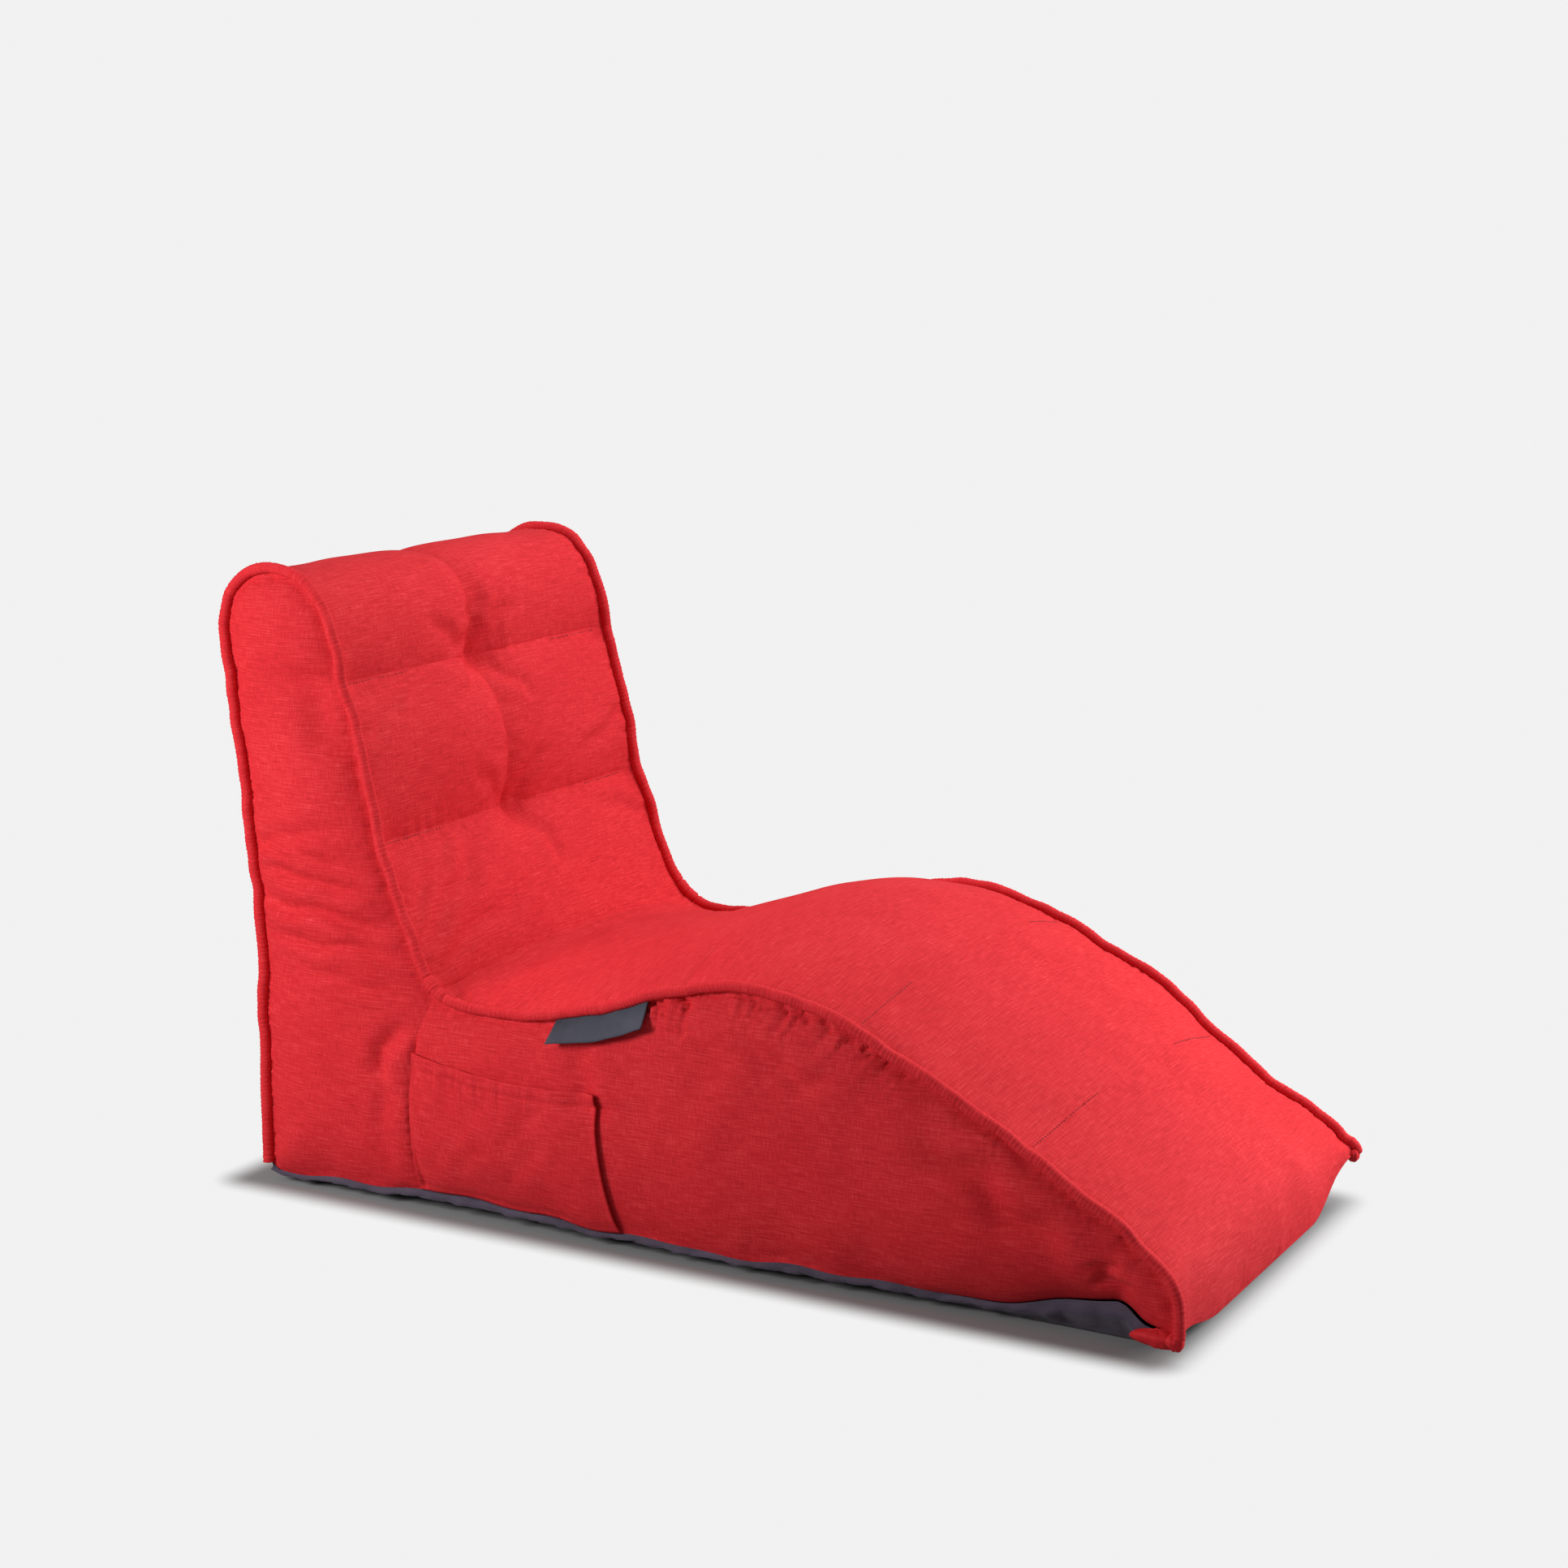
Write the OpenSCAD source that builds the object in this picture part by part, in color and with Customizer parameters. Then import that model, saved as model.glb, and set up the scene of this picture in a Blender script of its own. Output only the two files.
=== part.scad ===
// Bean bag lounger: a filled fabric chair with a raised backrest, a hollowed seat and a sloping leg rest.
// X runs across the seat, the sitter faces -Y, +Z is up. The origin is on the floor under the middle
// of the chair. All sizes are in millimetres.

/* [Overall] */
// Width between the two piped side seams
seam_width = 690; // [560:10:840]
// Length along the floor from the foot seam to the seam at the bottom of the back
base_length = 1450; // [1200:10:1760]
// Height of the piped seam over the top of the backrest
back_height = 930; // [760:1:1110]

/* [Leg rest and seat] */
// Height of the nose at the foot end
nose_height = 112; // [90:1:136]
// Distance of the seam across the calves from the foot end
calf_seam_y = 215; // [170:1:260]
// Height of the seam across the calves
calf_seam_z = 250; // [208:1:280]
// Distance of the seam under the knees from the foot end
knee_seam_y = 465; // [390:1:540]
// Height of the seam under the knees
knee_seam_z = 379; // [316:1:400]
// Distance of the top of the thigh hump from the foot end
hump_y = 640; // [590:1:700]
// Height of the piped seam at the thigh hump
hump_z = 417; // [380:1:500]
// Height of the piped seam at the lowest part of the seat
seat_z = 319; // [265:1:360]
// How far the middle of the seat stands above its piped sides at the hump
seat_crown = 66; // [40:1:94]

/* [Backrest] */
// Distance of the crease between seat and backrest from the bottom of the back
crease_setback = 298; // [250:1:350]
// Distance of the lower backrest seam from the bottom of the back
lower_seam_setback = 220; // [185:1:260]
// Height of the lower backrest seam
lower_seam_z = 545; // [470:1:610]
// Distance of the upper backrest seam from the bottom of the back
upper_seam_setback = 162; // [135:1:190]
// Height of the upper backrest seam
upper_seam_z = 775; // [660:1:800]
// Distance of the front top edge from the bottom of the back
top_front_setback = 126; // [105:1:150]
// How far the top of the backrest leans out behind its bottom
back_overhang = 66; // [40:1:80]
// How far the middle of the backrest stands in front of its piped sides
backrest_crown = 36; // [10:1:44]
// How far the middle of the rear panel bulges out
rear_crown = 40; // [10:1:48]

/* [Base] */
// Height of the seam between the red cover and the dark base panel
base_rise = 32; // [26:1:39]
// How far the resting face is in from the base seam
base_inset = 50; // [40:1:60]

/* [Fabric] */
// Thickness of a cover panel with its lining
cover_t = 4; // [3:0.5:5]
// Thickness of the base panel
base_t = 4; // [3:0.5:5]
// Thickness of the quilting wadding under the seat and backrest
wadding_t = 10; // [8:0.5:12]
// Thickness of the inner liner
liner_t = 1.2; // [1:0.1:2]
// How far the middle of a side panel bulges past the piped seam
side_bulge = 24; // [16:1:29]

/* [Piping] */
// Outer diameter of the piping
piping_d = 16; // [13:0.5:20]
// Diameter of the cord inside the piping
piping_cord_d = 10; // [8:0.5:11]

/* [Pocket and label] */
// Length of the side pocket
pocket_l = 318; // [260:1:380]
// Height of the pocket's mouth above the floor
pocket_top = 250; // [205:1:270]
// Room inside the pocket between it and the side panel
pocket_gap = 9; // [7:0.5:11]
// Thickness of the pocket panel
pocket_t = 3; // [2:0.5:4]
// Length of the label tab
label_l = 150; // [120:1:180]
// Height of the label tab
label_h = 38; // [30:1:42]

/* [Zip] */
// Height of the zip above the floor
zip_z = 95; // [78:1:115]
// Length of the zip's coil
zip_l = 520; // [430:1:560]
// Height of the slot in the rear cover that the zip closes
zip_slot = 12; // [12:0.5:15]
// Length of the pull tab
pull_l = 26; // [20:1:31]

/* [Hidden] */

RED = "#d9343f";
DARK = "#51485a";
SLATE = "#454a57";
CORD = "#e8e2d4";
WADDING = "#f2f0ea";
LINER = "#dfe3e6";
BEADS = "#fbfbf6";
ZIP_DARK = "#3b3640";
METAL = "#a9abae";

// Clearance between pieces that lie against each other
clear = 0.3;

half_w = seam_width / 2;
piping_r = piping_d / 2;
cord_r = piping_cord_d / 2;
// Depth of the piping's centre under the face of the cover
piping_depth = cover_t / 2;

// The side outline, from the foot seam over the seat and backrest to the seam at the bottom of the back.
// Each corner is [distance from the foot seam, height, corner radius, crown at mid width, arc steps].
// A corner with no radius is one point.
nose_r = 45;
hump_r = 230;
seat_r = 400;
crease_r = 110;
front_top_r = 95;
rear_top_r = 75;
placket_top = 150;
rear_bend_z = 430;
rear_swell_z = 690;
// How far the piped seam swells between two cross seams
pad_swell = 3;

crease_y = base_length - crease_setback;
lower_seam_y = base_length - lower_seam_setback;
upper_seam_y = base_length - upper_seam_setback;
seat_low_y = base_length - 500;
thigh_seam_y = hump_y + 95;
thigh_seam_z = pad_swell + hump_z + (thigh_seam_y - hump_y) * (seat_z - hump_z) / (seat_low_y - hump_y);

CORNERS = [
    [0, base_rise, 0, 0, 0],
    [0, nose_height, nose_r, 14, 4],
    [calf_seam_y, calf_seam_z, 0, 34, 0],
    [knee_seam_y, knee_seam_z, 40, seat_crown - 18, 2],
    [hump_y, hump_z, hump_r, seat_crown, 4],
    [thigh_seam_y, thigh_seam_z, 0, seat_crown - 8, 0],
    [seat_low_y, seat_z, seat_r, seat_crown - 34, 3],
    [crease_y, seat_z, crease_r, 10, 6],
    [lower_seam_y, lower_seam_z, 0, backrest_crown / 2, 0],
    [
        (lower_seam_y + upper_seam_y) / 2 - pad_swell, (lower_seam_z + upper_seam_z) / 2,
        0, backrest_crown, 0
    ],
    [upper_seam_y, upper_seam_z, 0, backrest_crown / 2, 0],
    [base_length - top_front_setback, back_height, front_top_r, 8, 5],
    [base_length + back_overhang, back_height, rear_top_r, 6, 6],
    [base_length + back_overhang * 0.5, rear_swell_z, 0, rear_crown, 0],
    [base_length, rear_bend_z, 0, rear_crown * 0.8, 0],
    [base_length, placket_top, 0, 0, 0],
    [base_length, zip_z + zip_slot / 2, 0, 0, 0],
    [base_length, zip_z - zip_slot / 2, 0, 0, 0],
    [base_length, base_rise, 0, 0, 0]
];
LAST = len(CORNERS) - 1;

// Index in the outline of the first point of a corner
function first_index(corner) = corner == 0 ? 0 : first_index(corner - 1) + CORNERS[corner - 1][4] + 1;

FOOT = 0;
CALF_SEAM = first_index(2);
KNEE_SEAM = first_index(3) + 1;
THIGH_SEAM = first_index(5);
CREASE = first_index(7) + 3;
LOWER_SEAM = first_index(8);
UPPER_SEAM = first_index(10);
REAR_TOP = first_index(12) + 4;
PLACKET = first_index(15);
ZIP_TOP = first_index(16);
ZIP_BOTTOM = first_index(17);
END = first_index(LAST);

function unit(v) = v / norm(v);
function left_of(v) = [-v[1], v[0]];
function spot(corner) = [CORNERS[corner][0], CORNERS[corner][1]];

// A corner moved outwards; the two ends stay at the height of the base seam
function moved(corner, out) =
    corner == 0
        ? spot(0) + [out / left_of(unit(spot(1) - spot(0)))[0], 0]
        : corner == LAST
            ? spot(LAST) + [out / left_of(unit(spot(LAST) - spot(LAST - 1)))[0], 0]
            : let (
                before = left_of(unit(spot(corner) - spot(corner - 1))),
                after = left_of(unit(spot(corner + 1) - spot(corner)))
            ) spot(corner) + out * (before + after) / (1 + before * after);

// The points of one rounded corner of the outline between its two neighbours
function rounded(before, here, after, radius, steps) =
    steps == 0
        ? [here]
        : let (
            coming = unit(here - before),
            going = unit(after - here),
            turn = atan2(coming[0] * going[1] - coming[1] * going[0], coming * going),
            start = here - coming * radius * tan(abs(turn) / 2),
            centre = start + left_of(coming) * radius * sign(turn)
        ) [
            for (step = [0 : steps])
                let (a = turn * step / steps, spoke = start - centre)
                    centre + [
                        spoke[0] * cos(a) - spoke[1] * sin(a),
                        spoke[0] * sin(a) + spoke[1] * cos(a)
                    ]
        ];

// Whether the outline bulges (1) or is hollow (-1) at a corner
function bulging(corner) =
    let (
        coming = unit(spot(corner) - spot(corner - 1)),
        going = unit(spot(corner + 1) - spot(corner))
    ) coming[0] * going[1] - coming[1] * going[0] < 0 ? 1 : -1;

least_radius = 4;

// The outline at a share of the full crown, 0 at the seams and 1 at mid width, and a depth under the face
function outline(crown_share, depth) =
    let (
        out = [for (c = CORNERS) c[3] * crown_share - depth],
        spots = [for (c = [0 : LAST]) moved(c, out[c])]
    ) [
        for (c = [0 : LAST])
            each (c == 0 || c == LAST || CORNERS[c][4] == 0
                ? [spots[c]]
                : rounded(
                    spots[c - 1], spots[c], spots[c + 1],
                    max(least_radius, CORNERS[c][2] + bulging(c) * out[c]), CORNERS[c][4]
                ))
    ];

// Share of the crown at a distance from mid width
function crown_share(x) = max(0, 1 - pow(abs(x) / half_w, 2.2));

SEAM_LINE = outline(0, 0);
MID_LINE = outline(1, 0);
PIPING_LINE = outline(0, piping_depth);

// The origin lies under the middle of the chair's length
foot_most = min(min([for (p = MID_LINE) p[0]]), min([for (p = PIPING_LINE) p[0]]) - piping_r);
rear_most = max(max([for (p = MID_LINE) p[0]]), max([for (p = PIPING_LINE) p[0]]) + piping_r);
shift_y = -(foot_most + rear_most) / 2;

function place(x, p) = [x, p[0] + shift_y, p[1]];

// ---- Closed shapes made from rings of points ----

// The two triangles of each cell between ring a and ring b. From the point `crossed` on, a cell is
// split along its other diagonal, so that the two faces of a sheet are split alike.
function band(a, b, count, crossed) = [
    for (i = [0 : count - 1])
        let (
            j = (i + 1) % count,
            a_i = a * count + i,
            a_j = a * count + j,
            b_i = b * count + i,
            b_j = b * count + j
        ) each (i < crossed ? [[a_i, a_j, b_j], [a_i, b_j, b_i]] : [[a_i, a_j, b_i], [a_j, b_j, b_i]])
];
function cap(ring, count) = [[for (i = [0 : count - 1]) ring * count + i]];
function back_cap(ring, count) = [[for (i = [count - 1 : -1 : 0]) ring * count + i]];
function turned(faces) = [for (f = faces) [for (i = [len(f) - 1 : -1 : 0]) f[i]]];

// A cap of triangles between a ring and a point inside it, for a ring that is hollow somewhere
function fan(ring, count, middle) = [
    for (i = [0 : count - 1])
        [middle, ring * count + i, ring * count + (i + 1) % count]
];

// A cap of triangles for a ring whose second half runs back along its first
function strip(ring, count) = [
    for (i = [0 : count / 2 - 2])
        let (a = ring * count + i, b = (ring + 1) * count - 1 - i) each [[a, a + 1, b - 1], [a, b - 1, b]]
];

module from_rings(rings, faces, mirrored = false, middles = []) {
    polyhedron(
        points = concat([for (ring = rings) each ring], middles),
        faces = mirrored ? turned(faces) : faces,
        convexity = 8
    );
}

// A solid through rings of points, with a flat cap at each end
module loft(rings, crossed) {
    count = len(rings[0]);
    last = len(rings) - 1;
    bands = [for (r = [0 : last - 1]) each band(r, r + 1, count, crossed)];
    from_rings(rings, concat(bands, back_cap(0, count), cap(last, count)));
}

// A solid whose rings run out and back again, such as a hollow tube
module tube_loft(rings) {
    count = len(rings[0]);
    total = len(rings);
    from_rings(rings, [for (r = [0 : total - 1]) each band(r, (r + 1) % total, count, count)]);
}

// A dished sheet: the rings of its outer face from rim to middle, then those of its inner face back.
// Where the innermost rings are hollow, middles gives a point inside each.
module dish(rings, mirrored = false, middles = []) {
    count = len(rings[0]);
    total = len(rings);
    half = total / 2;
    bands = [
        for (r = [0 : total - 1])
            if (r != half - 1)
                each band(r, (r + 1) % total, count, count)
    ];
    from_rings(
        rings,
        len(middles) == 0
            ? concat(bands, cap(half - 1, count), back_cap(half, count))
            : concat(
                bands,
                fan(half - 1, count, total * count),
                turned(fan(half, count, total * count + 1))
            ),
        mirrored,
        middles
    );
}

// ---- Seat, backrest and rear ----

cover_reach = half_w - piping_r - clear;
wadding_reach = cover_reach - cover_t;
// Room between one inner layer and the next
layer_room = 1;
wadding_top = cover_t + layer_room;
wadding_bottom = wadding_top + wadding_t;
// The stations across the width that every layer shares; the outermost one reaches over the flat of the base
low_reach = half_w - base_inset - 12;
shared_stations = [low_reach, half_w * 0.62, half_w * 0.32];

function mirrored_about_middle(right) = concat(
    [for (x = right) -x],
    [0],
    [for (i = [len(right) - 1 : -1 : 0]) right[i]]
);

// A layer of the seat, backrest or rear, between two depths and two points of the outline
module layer(first, last, top, bottom, reach) {
    rings = [
        for (x = mirrored_about_middle(concat([reach], shared_stations)))
            let (
                outer = outline(crown_share(x), top),
                inner = outline(crown_share(x), bottom)
            ) concat(
                [for (i = [first : last]) place(x, outer[i])],
                [for (i = [last : -1 : first]) place(x, inner[i])]
            )
    ];
    count = len(rings[0]);
    end = len(rings) - 1;
    bands = [for (r = [0 : end - 1]) each band(r, r + 1, count, last - first + 1)];
    from_rings(rings, concat(bands, turned(strip(0, count)), strip(end, count)));
}

module cover(first, last) {
    color(RED) layer(first, last, 0, cover_t, cover_reach);
}

module backrest_top_panel() {
    cover(UPPER_SEAM, REAR_TOP);
}

module backrest_middle_panel() {
    cover(LOWER_SEAM, UPPER_SEAM);
}

module backrest_lower_panel() {
    cover(CREASE, LOWER_SEAM);
}

module seat_panel() {
    cover(THIGH_SEAM, CREASE);
}

module thigh_panel() {
    cover(KNEE_SEAM, THIGH_SEAM);
}

module calf_panel() {
    cover(CALF_SEAM, KNEE_SEAM);
}

module foot_panel() {
    cover(FOOT, CALF_SEAM);
}

module rear_panel() {
    cover(REAR_TOP, ZIP_TOP);
}

module rear_lower_strip() {
    cover(ZIP_BOTTOM, END);
}

module backrest_wadding() {
    color(WADDING) layer(CREASE, REAR_TOP, wadding_top, wadding_bottom, wadding_reach);
}

module seat_wadding() {
    color(WADDING) layer(CALF_SEAM, CREASE, wadding_top, wadding_bottom, wadding_reach);
}

// ---- Base ----

// A level rectangle of the base, drawn in from the base seam
function base_ring(inset, z) = [
    for (corner = [[-1, 0], [1, 0], [1, 1], [-1, 1]])
        [
            corner[0] * (half_w - inset),
            (corner[1] == 0 ? inset : base_length - inset) + shift_y,
            z
        ]
];

module base_panel() {
    wall = base_t * 1.7;
    color(DARK)
        dish([
            base_ring(0, base_rise - clear),
            base_ring(base_inset, 0),
            base_ring(base_inset + base_t / 2, base_t),
            base_ring(wall, base_rise - clear)
        ]);
}

// ---- Side panels ----

// The seam between the two side panels, measured from the bottom of the back
side_seam_setback = 287;
side_seam_y = base_length - side_seam_setback;
// A side panel bulges in steps of [depth from the seam, stand past the seam]
side_rim = piping_depth + piping_r + clear;
side_steps = [[side_rim, 0], [side_rim + 10, side_bulge * 0.6], [side_rim + 23, side_bulge]];

// A point inside each half of the side, from which its whole edge can be seen
back_middle = [base_length - 110, back_height * 0.45];
seat_middle = [base_length - 490, hump_z * 0.35];

// The stretches of the outline that the sides need, without the points that only the zip needs
function is_zip_point(i) = i == PLACKET || i == ZIP_TOP || i == ZIP_BOTTOM;
function stretch(line, first, last) = [for (i = [first : last]) if (!is_zip_point(i)) line[i]];

// One ring of a side panel; its edge along the base rises as the panel bulges. Along the seam between
// the two halves, the inner face is set in by the thickness of the cover, as a turned-in edge.
function side_ring(step, back, x, set_in) =
    let (
        depth = side_steps[step][0],
        floor_z = base_rise + clear + depth - side_rim,
        line = [for (p = outline(0, depth)) [p[0], max(p[1], floor_z)]],
        neighbour = line[back ? CREASE + 1 : CREASE - 1],
        tip = line[CREASE] + unit(neighbour - line[CREASE]) * set_in,
        seam_y = side_seam_y + (back ? set_in : -set_in),
        ring = back
            ? concat([tip], stretch(line, CREASE + 1, END), [[seam_y, floor_z], [seam_y, pocket_top]])
            : concat(stretch(line, FOOT, CREASE - 1), [tip, [seam_y, pocket_top], [seam_y, floor_z]])
    ) [for (p = ring) place(x, p)];

// The back or seat half of the side on the side of the given sign
module side_panel(side_sign, back) {
    outer = [
        for (step = [0 : 2])
            side_ring(step, back, side_sign * (half_w + cover_t / 2 + side_steps[step][1]), 0)
    ];
    inner = [
        for (step = [2 : -1 : 0])
            side_ring(step, back, side_sign * (half_w - cover_t / 2 + side_steps[step][1]), cover_t)
    ];
    middle = back ? back_middle : seat_middle;
    color(RED)
        dish(
            concat(outer, inner),
            mirrored = side_sign < 0,
            middles = [
                for (face = [1, -1])
                    place(side_sign * (half_w + face * cover_t / 2 + side_bulge), middle)
            ]
        );
}

module side_back_right() {
    side_panel(-1, true);
}

module side_seat_right() {
    side_panel(-1, false);
}

module side_back_left() {
    side_panel(1, true);
}

module side_seat_left() {
    side_panel(1, false);
}

// ---- Piping ----

piping_sides = 8;

// A circle of points round one point of the piping's line
function piping_ring(x, at, radius) =
    let (
        before = PIPING_LINE[max(at - 1, 0)],
        after = PIPING_LINE[min(at + 1, END)],
        outward = left_of(unit(after - before))
    ) [
        for (i = [0 : piping_sides - 1])
            let (a = 360 * i / piping_sides)
                place(x + radius * cos(a), PIPING_LINE[at] + outward * radius * sin(a))
    ];

function piping_stops(first, last) = [for (i = [first : last]) if (!is_zip_point(i)) i];

module piping(side_sign, first, last) {
    stops = piping_stops(first, last);
    outer = [for (i = stops) piping_ring(side_sign * half_w, i, piping_r)];
    inner = [
        for (k = [len(stops) - 1 : -1 : 0])
            piping_ring(side_sign * half_w, stops[k], cord_r + 0.2)
    ];
    color(RED) tube_loft(concat(outer, inner));
}

module piping_cord(side_sign, first, last) {
    color(CORD)
        loft(
            [for (i = piping_stops(first, last)) piping_ring(side_sign * half_w, i, cord_r)],
            piping_sides
        );
}

module piping_back_right() {
    piping(-1, CREASE, END);
}

module piping_seat_right() {
    piping(-1, FOOT, CREASE);
}

module piping_back_left() {
    piping(1, CREASE, END);
}

module piping_seat_left() {
    piping(1, FOOT, CREASE);
}

module cord_back_right() {
    piping_cord(-1, CREASE, END);
}

module cord_seat_right() {
    piping_cord(-1, FOOT, CREASE);
}

module cord_back_left() {
    piping_cord(1, CREASE, END);
}

module cord_seat_left() {
    piping_cord(1, FOOT, CREASE);
}

// ---- Pocket and label ----

pocket_floor = base_rise + clear + side_steps[2][0] - side_rim + 4;
pocket_y = side_seam_y - pocket_l;
side_face = half_w + cover_t / 2 + side_bulge;

// A panel sewn to the right side along three edges and open at the top
module pocket_panel() {
    depth = pocket_gap + pocket_t;
    color(RED)
        translate([-side_face - clear / 3 - depth, pocket_y + shift_y, pocket_floor])
            difference() {
                cube([depth, pocket_l, pocket_top - pocket_floor]);
                translate([pocket_t, pocket_t, pocket_t])
                    cube([depth, pocket_l - 2 * pocket_t, pocket_top]);
            }
}

label_setback = 594;
label_t = 1.2;
// A thicker cover holds the tab further out
label_tilt = 37 + 2.5 * cover_t;

// A folded tab sewn into the seam under the piping of the right side
module label_tab() {
    rise = (seat_z - thigh_seam_z) / (seat_low_y - thigh_seam_y);
    label_y = base_length - label_setback;
    label_z = thigh_seam_z + rise * (label_y - thigh_seam_y) - piping_depth;
    color(SLATE)
        translate([-half_w, label_y + shift_y, label_z])
            rotate([atan(rise), 0, 0])
                rotate([0, label_tilt, 0])
                    translate([-label_t / 2, -label_l / 2, -piping_r - clear - label_h])
                        cube([label_t, label_l, label_h]);
}

// ---- Zip across the bottom of the back ----

rear_face = base_length + shift_y;
tape_t = 1;
tape_overlap = 16;
tape_half_l = cover_reach - 2;
tape_face = rear_face - cover_t - clear;
coil_r = 1.2;
coil_half_gap = 1.25;
coil_y = tape_face + coil_r + 0.1;
slider_l = 14;
slider_h = 9;
slider_t = 3;
slider_y = coil_y + coil_r + clear;
slider_x = zip_l / 2 - slider_l / 2 - 3;
bar_r = 0.9;
bar_l = 9;
post_t = 1.4;
bar_y = slider_y + slider_t + 2.9;
pull_bore_r = bar_r + 0.08;
pull_eye_r = 2.3;
pull_t = 1.4;
pull_neck_w = 6;
pull_grip_w = 9;

// One half of the tape, above (1) or below (-1) the coil
module zip_tape(side_sign) {
    low = zip_z + (side_sign > 0 ? 0.4 : -zip_slot / 2 - tape_overlap);
    color(ZIP_DARK)
        translate([-tape_half_l, tape_face - tape_t, low])
            cube([2 * tape_half_l, tape_t, zip_slot / 2 + tape_overlap - 0.4]);
}

module zip_upper_tape() {
    zip_tape(1);
}

module zip_lower_tape() {
    zip_tape(-1);
}

// The two rows of the coil, closed
module zip_coil() {
    color(ZIP_DARK)
        for (row = [-1, 1])
            translate([-zip_l / 2, coil_y, zip_z + row * coil_half_gap])
                rotate([0, 90, 0])
                    cylinder(h = zip_l, r = coil_r, $fn = 24);
}

// Fabric tabs that close the slot past both ends of the coil
module zip_end_tabs() {
    tab_l = tape_half_l - zip_l / 2 - 3;
    color(RED)
        for (side_sign = [-1, 1])
            translate([side_sign * (tape_half_l - tab_l / 2), tape_face + 0.1, zip_z])
                translate([-tab_l / 2, 0, -zip_slot / 2 + 0.4])
                    cube([tab_l, cover_t - 0.6, zip_slot - 0.8]);
}

module zip_slider() {
    color(METAL) {
        translate([slider_x - slider_l / 2, slider_y, zip_z - slider_h / 2])
            cube([slider_l, slider_t, slider_h]);
        for (side_sign = [-1, 1])
            translate([slider_x + side_sign * (bar_l - post_t) / 2 - post_t / 2, slider_y, zip_z - 1.5])
                cube([post_t, bar_y - slider_y + 1.5, 3]);
        translate([slider_x - bar_l / 2, bar_y, zip_z])
            rotate([0, 90, 0])
                cylinder(h = bar_l, r = bar_r, $fn = 24);
    }
}

// The tab hangs from the slider's bar
module zip_pull() {
    color(METAL)
        translate([slider_x, bar_y, zip_z])
            difference() {
                union() {
                    translate([-pull_neck_w / 2, 0, 0])
                        rotate([0, 90, 0])
                            cylinder(h = pull_neck_w, r = pull_eye_r, $fn = 32);
                    translate([-pull_neck_w / 2, -pull_t / 2, -pull_l])
                        cube([pull_neck_w, pull_t, pull_l]);
                    translate([-pull_grip_w / 2, -pull_t / 2, -pull_l])
                        cube([pull_grip_w, pull_t, pull_l * 0.66]);
                }
                translate([-pull_neck_w, 0, 0])
                    rotate([0, 90, 0])
                        cylinder(h = 2 * pull_neck_w, r = pull_bore_r, $fn = 32);
            }
}

// ---- Inside: baffle, liners and bead filling ----

liner_depth = wadding_bottom + layer_room;
bead_growth = liner_t + clear;
baffle_t = 2;
// Where the baffle meets the base, measured from the bottom of the back
baffle_setback = 150;
baffle_y = base_length - baffle_setback;
// Room each side of the baffle's foot
baffle_room = 12;
// How far the inner pieces stay above the base seam and in from it
seam_room = 6;
seam_lift = 3;
// How far the inner pieces reach out towards the side panels
inner_reach = half_w - cover_t;

// Height of the floor under the inner pieces at a distance from mid width
function inner_floor(x) = abs(x) > low_reach ? base_rise + seam_room : base_t + 2;

// The stations of an inner piece that is smaller by a growth on every side
function inner_stations(growth) = mirrored_about_middle(
    concat([inner_reach - growth, inner_reach - 12], shared_stations)
);

// The closed section of a chamber at one station
function chamber_ring(back, x, growth) =
    let (
        floor_z = inner_floor(x) + growth,
        seam_z = base_rise + seam_room + seam_lift + growth,
        line = [
            for (p = outline(crown_share(x), liner_depth + growth)) [p[0], max(p[1], seam_z)]
        ],
        room = baffle_room + growth,
        reach = base_inset + 10 + growth,
        ring = back
            ? concat(
                stretch(line, CREASE + 1, END),
                [[base_length - reach, floor_z], [baffle_y + room, floor_z]]
            )
            : concat(
                stretch(line, FOOT, CREASE - 1),
                [[baffle_y - room, floor_z], [reach, floor_z]]
            )
    ) [for (p = ring) place(x, p)];

// The flat ends of a chamber are fans of triangles from a point inside them
module closed_ends(rings, crossed, back) {
    count = len(rings[0]);
    last = len(rings) - 1;
    total = (last + 1) * count;
    bands = [for (r = [0 : last - 1]) each band(r, r + 1, count, r < crossed ? count : 0)];
    from_rings(
        rings,
        concat(bands, turned(fan(0, count, total)), fan(last, count, total + 1)),
        middles = [
            for (r = [0, last])
                place(rings[r][0][0], back ? back_middle : seat_middle)
        ]
    );
}

module chamber(back, growth) {
    rings = [for (x = inner_stations(growth)) chamber_ring(back, x, growth)];
    closed_ends(rings, len(rings), back);
}

// The size of a liner's filling mouth against its end
mouth_share = 0.25;

function mouth_ring(back, x) =
    let (at = place(x, back ? back_middle : seat_middle))
        [for (p = chamber_ring(back, inner_reach, 0)) at + mouth_share * [0, p[1] - at[1], p[2] - at[2]]];

// A thin bag round a bead filling, with its filling mouth in the left end. Its two faces are split alike.
module liner(back) {
    outer = [for (x = inner_stations(0)) chamber_ring(back, x, 0)];
    inner = [for (x = inner_stations(liner_t)) chamber_ring(back, x, liner_t)];
    rings = concat(
        outer,
        [mouth_ring(back, inner_reach), mouth_ring(back, inner_reach - liner_t)],
        [for (i = [len(inner) - 1 : -1 : 0]) inner[i]]
    );
    color(LINER) closed_ends(rings, len(outer), back);
}

module backrest_liner() {
    liner(true);
}

module seat_liner() {
    liner(false);
}

module backrest_beads() {
    color(BEADS) chamber(true, bead_growth);
}

module seat_beads() {
    color(BEADS) chamber(false, bead_growth);
}

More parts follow.
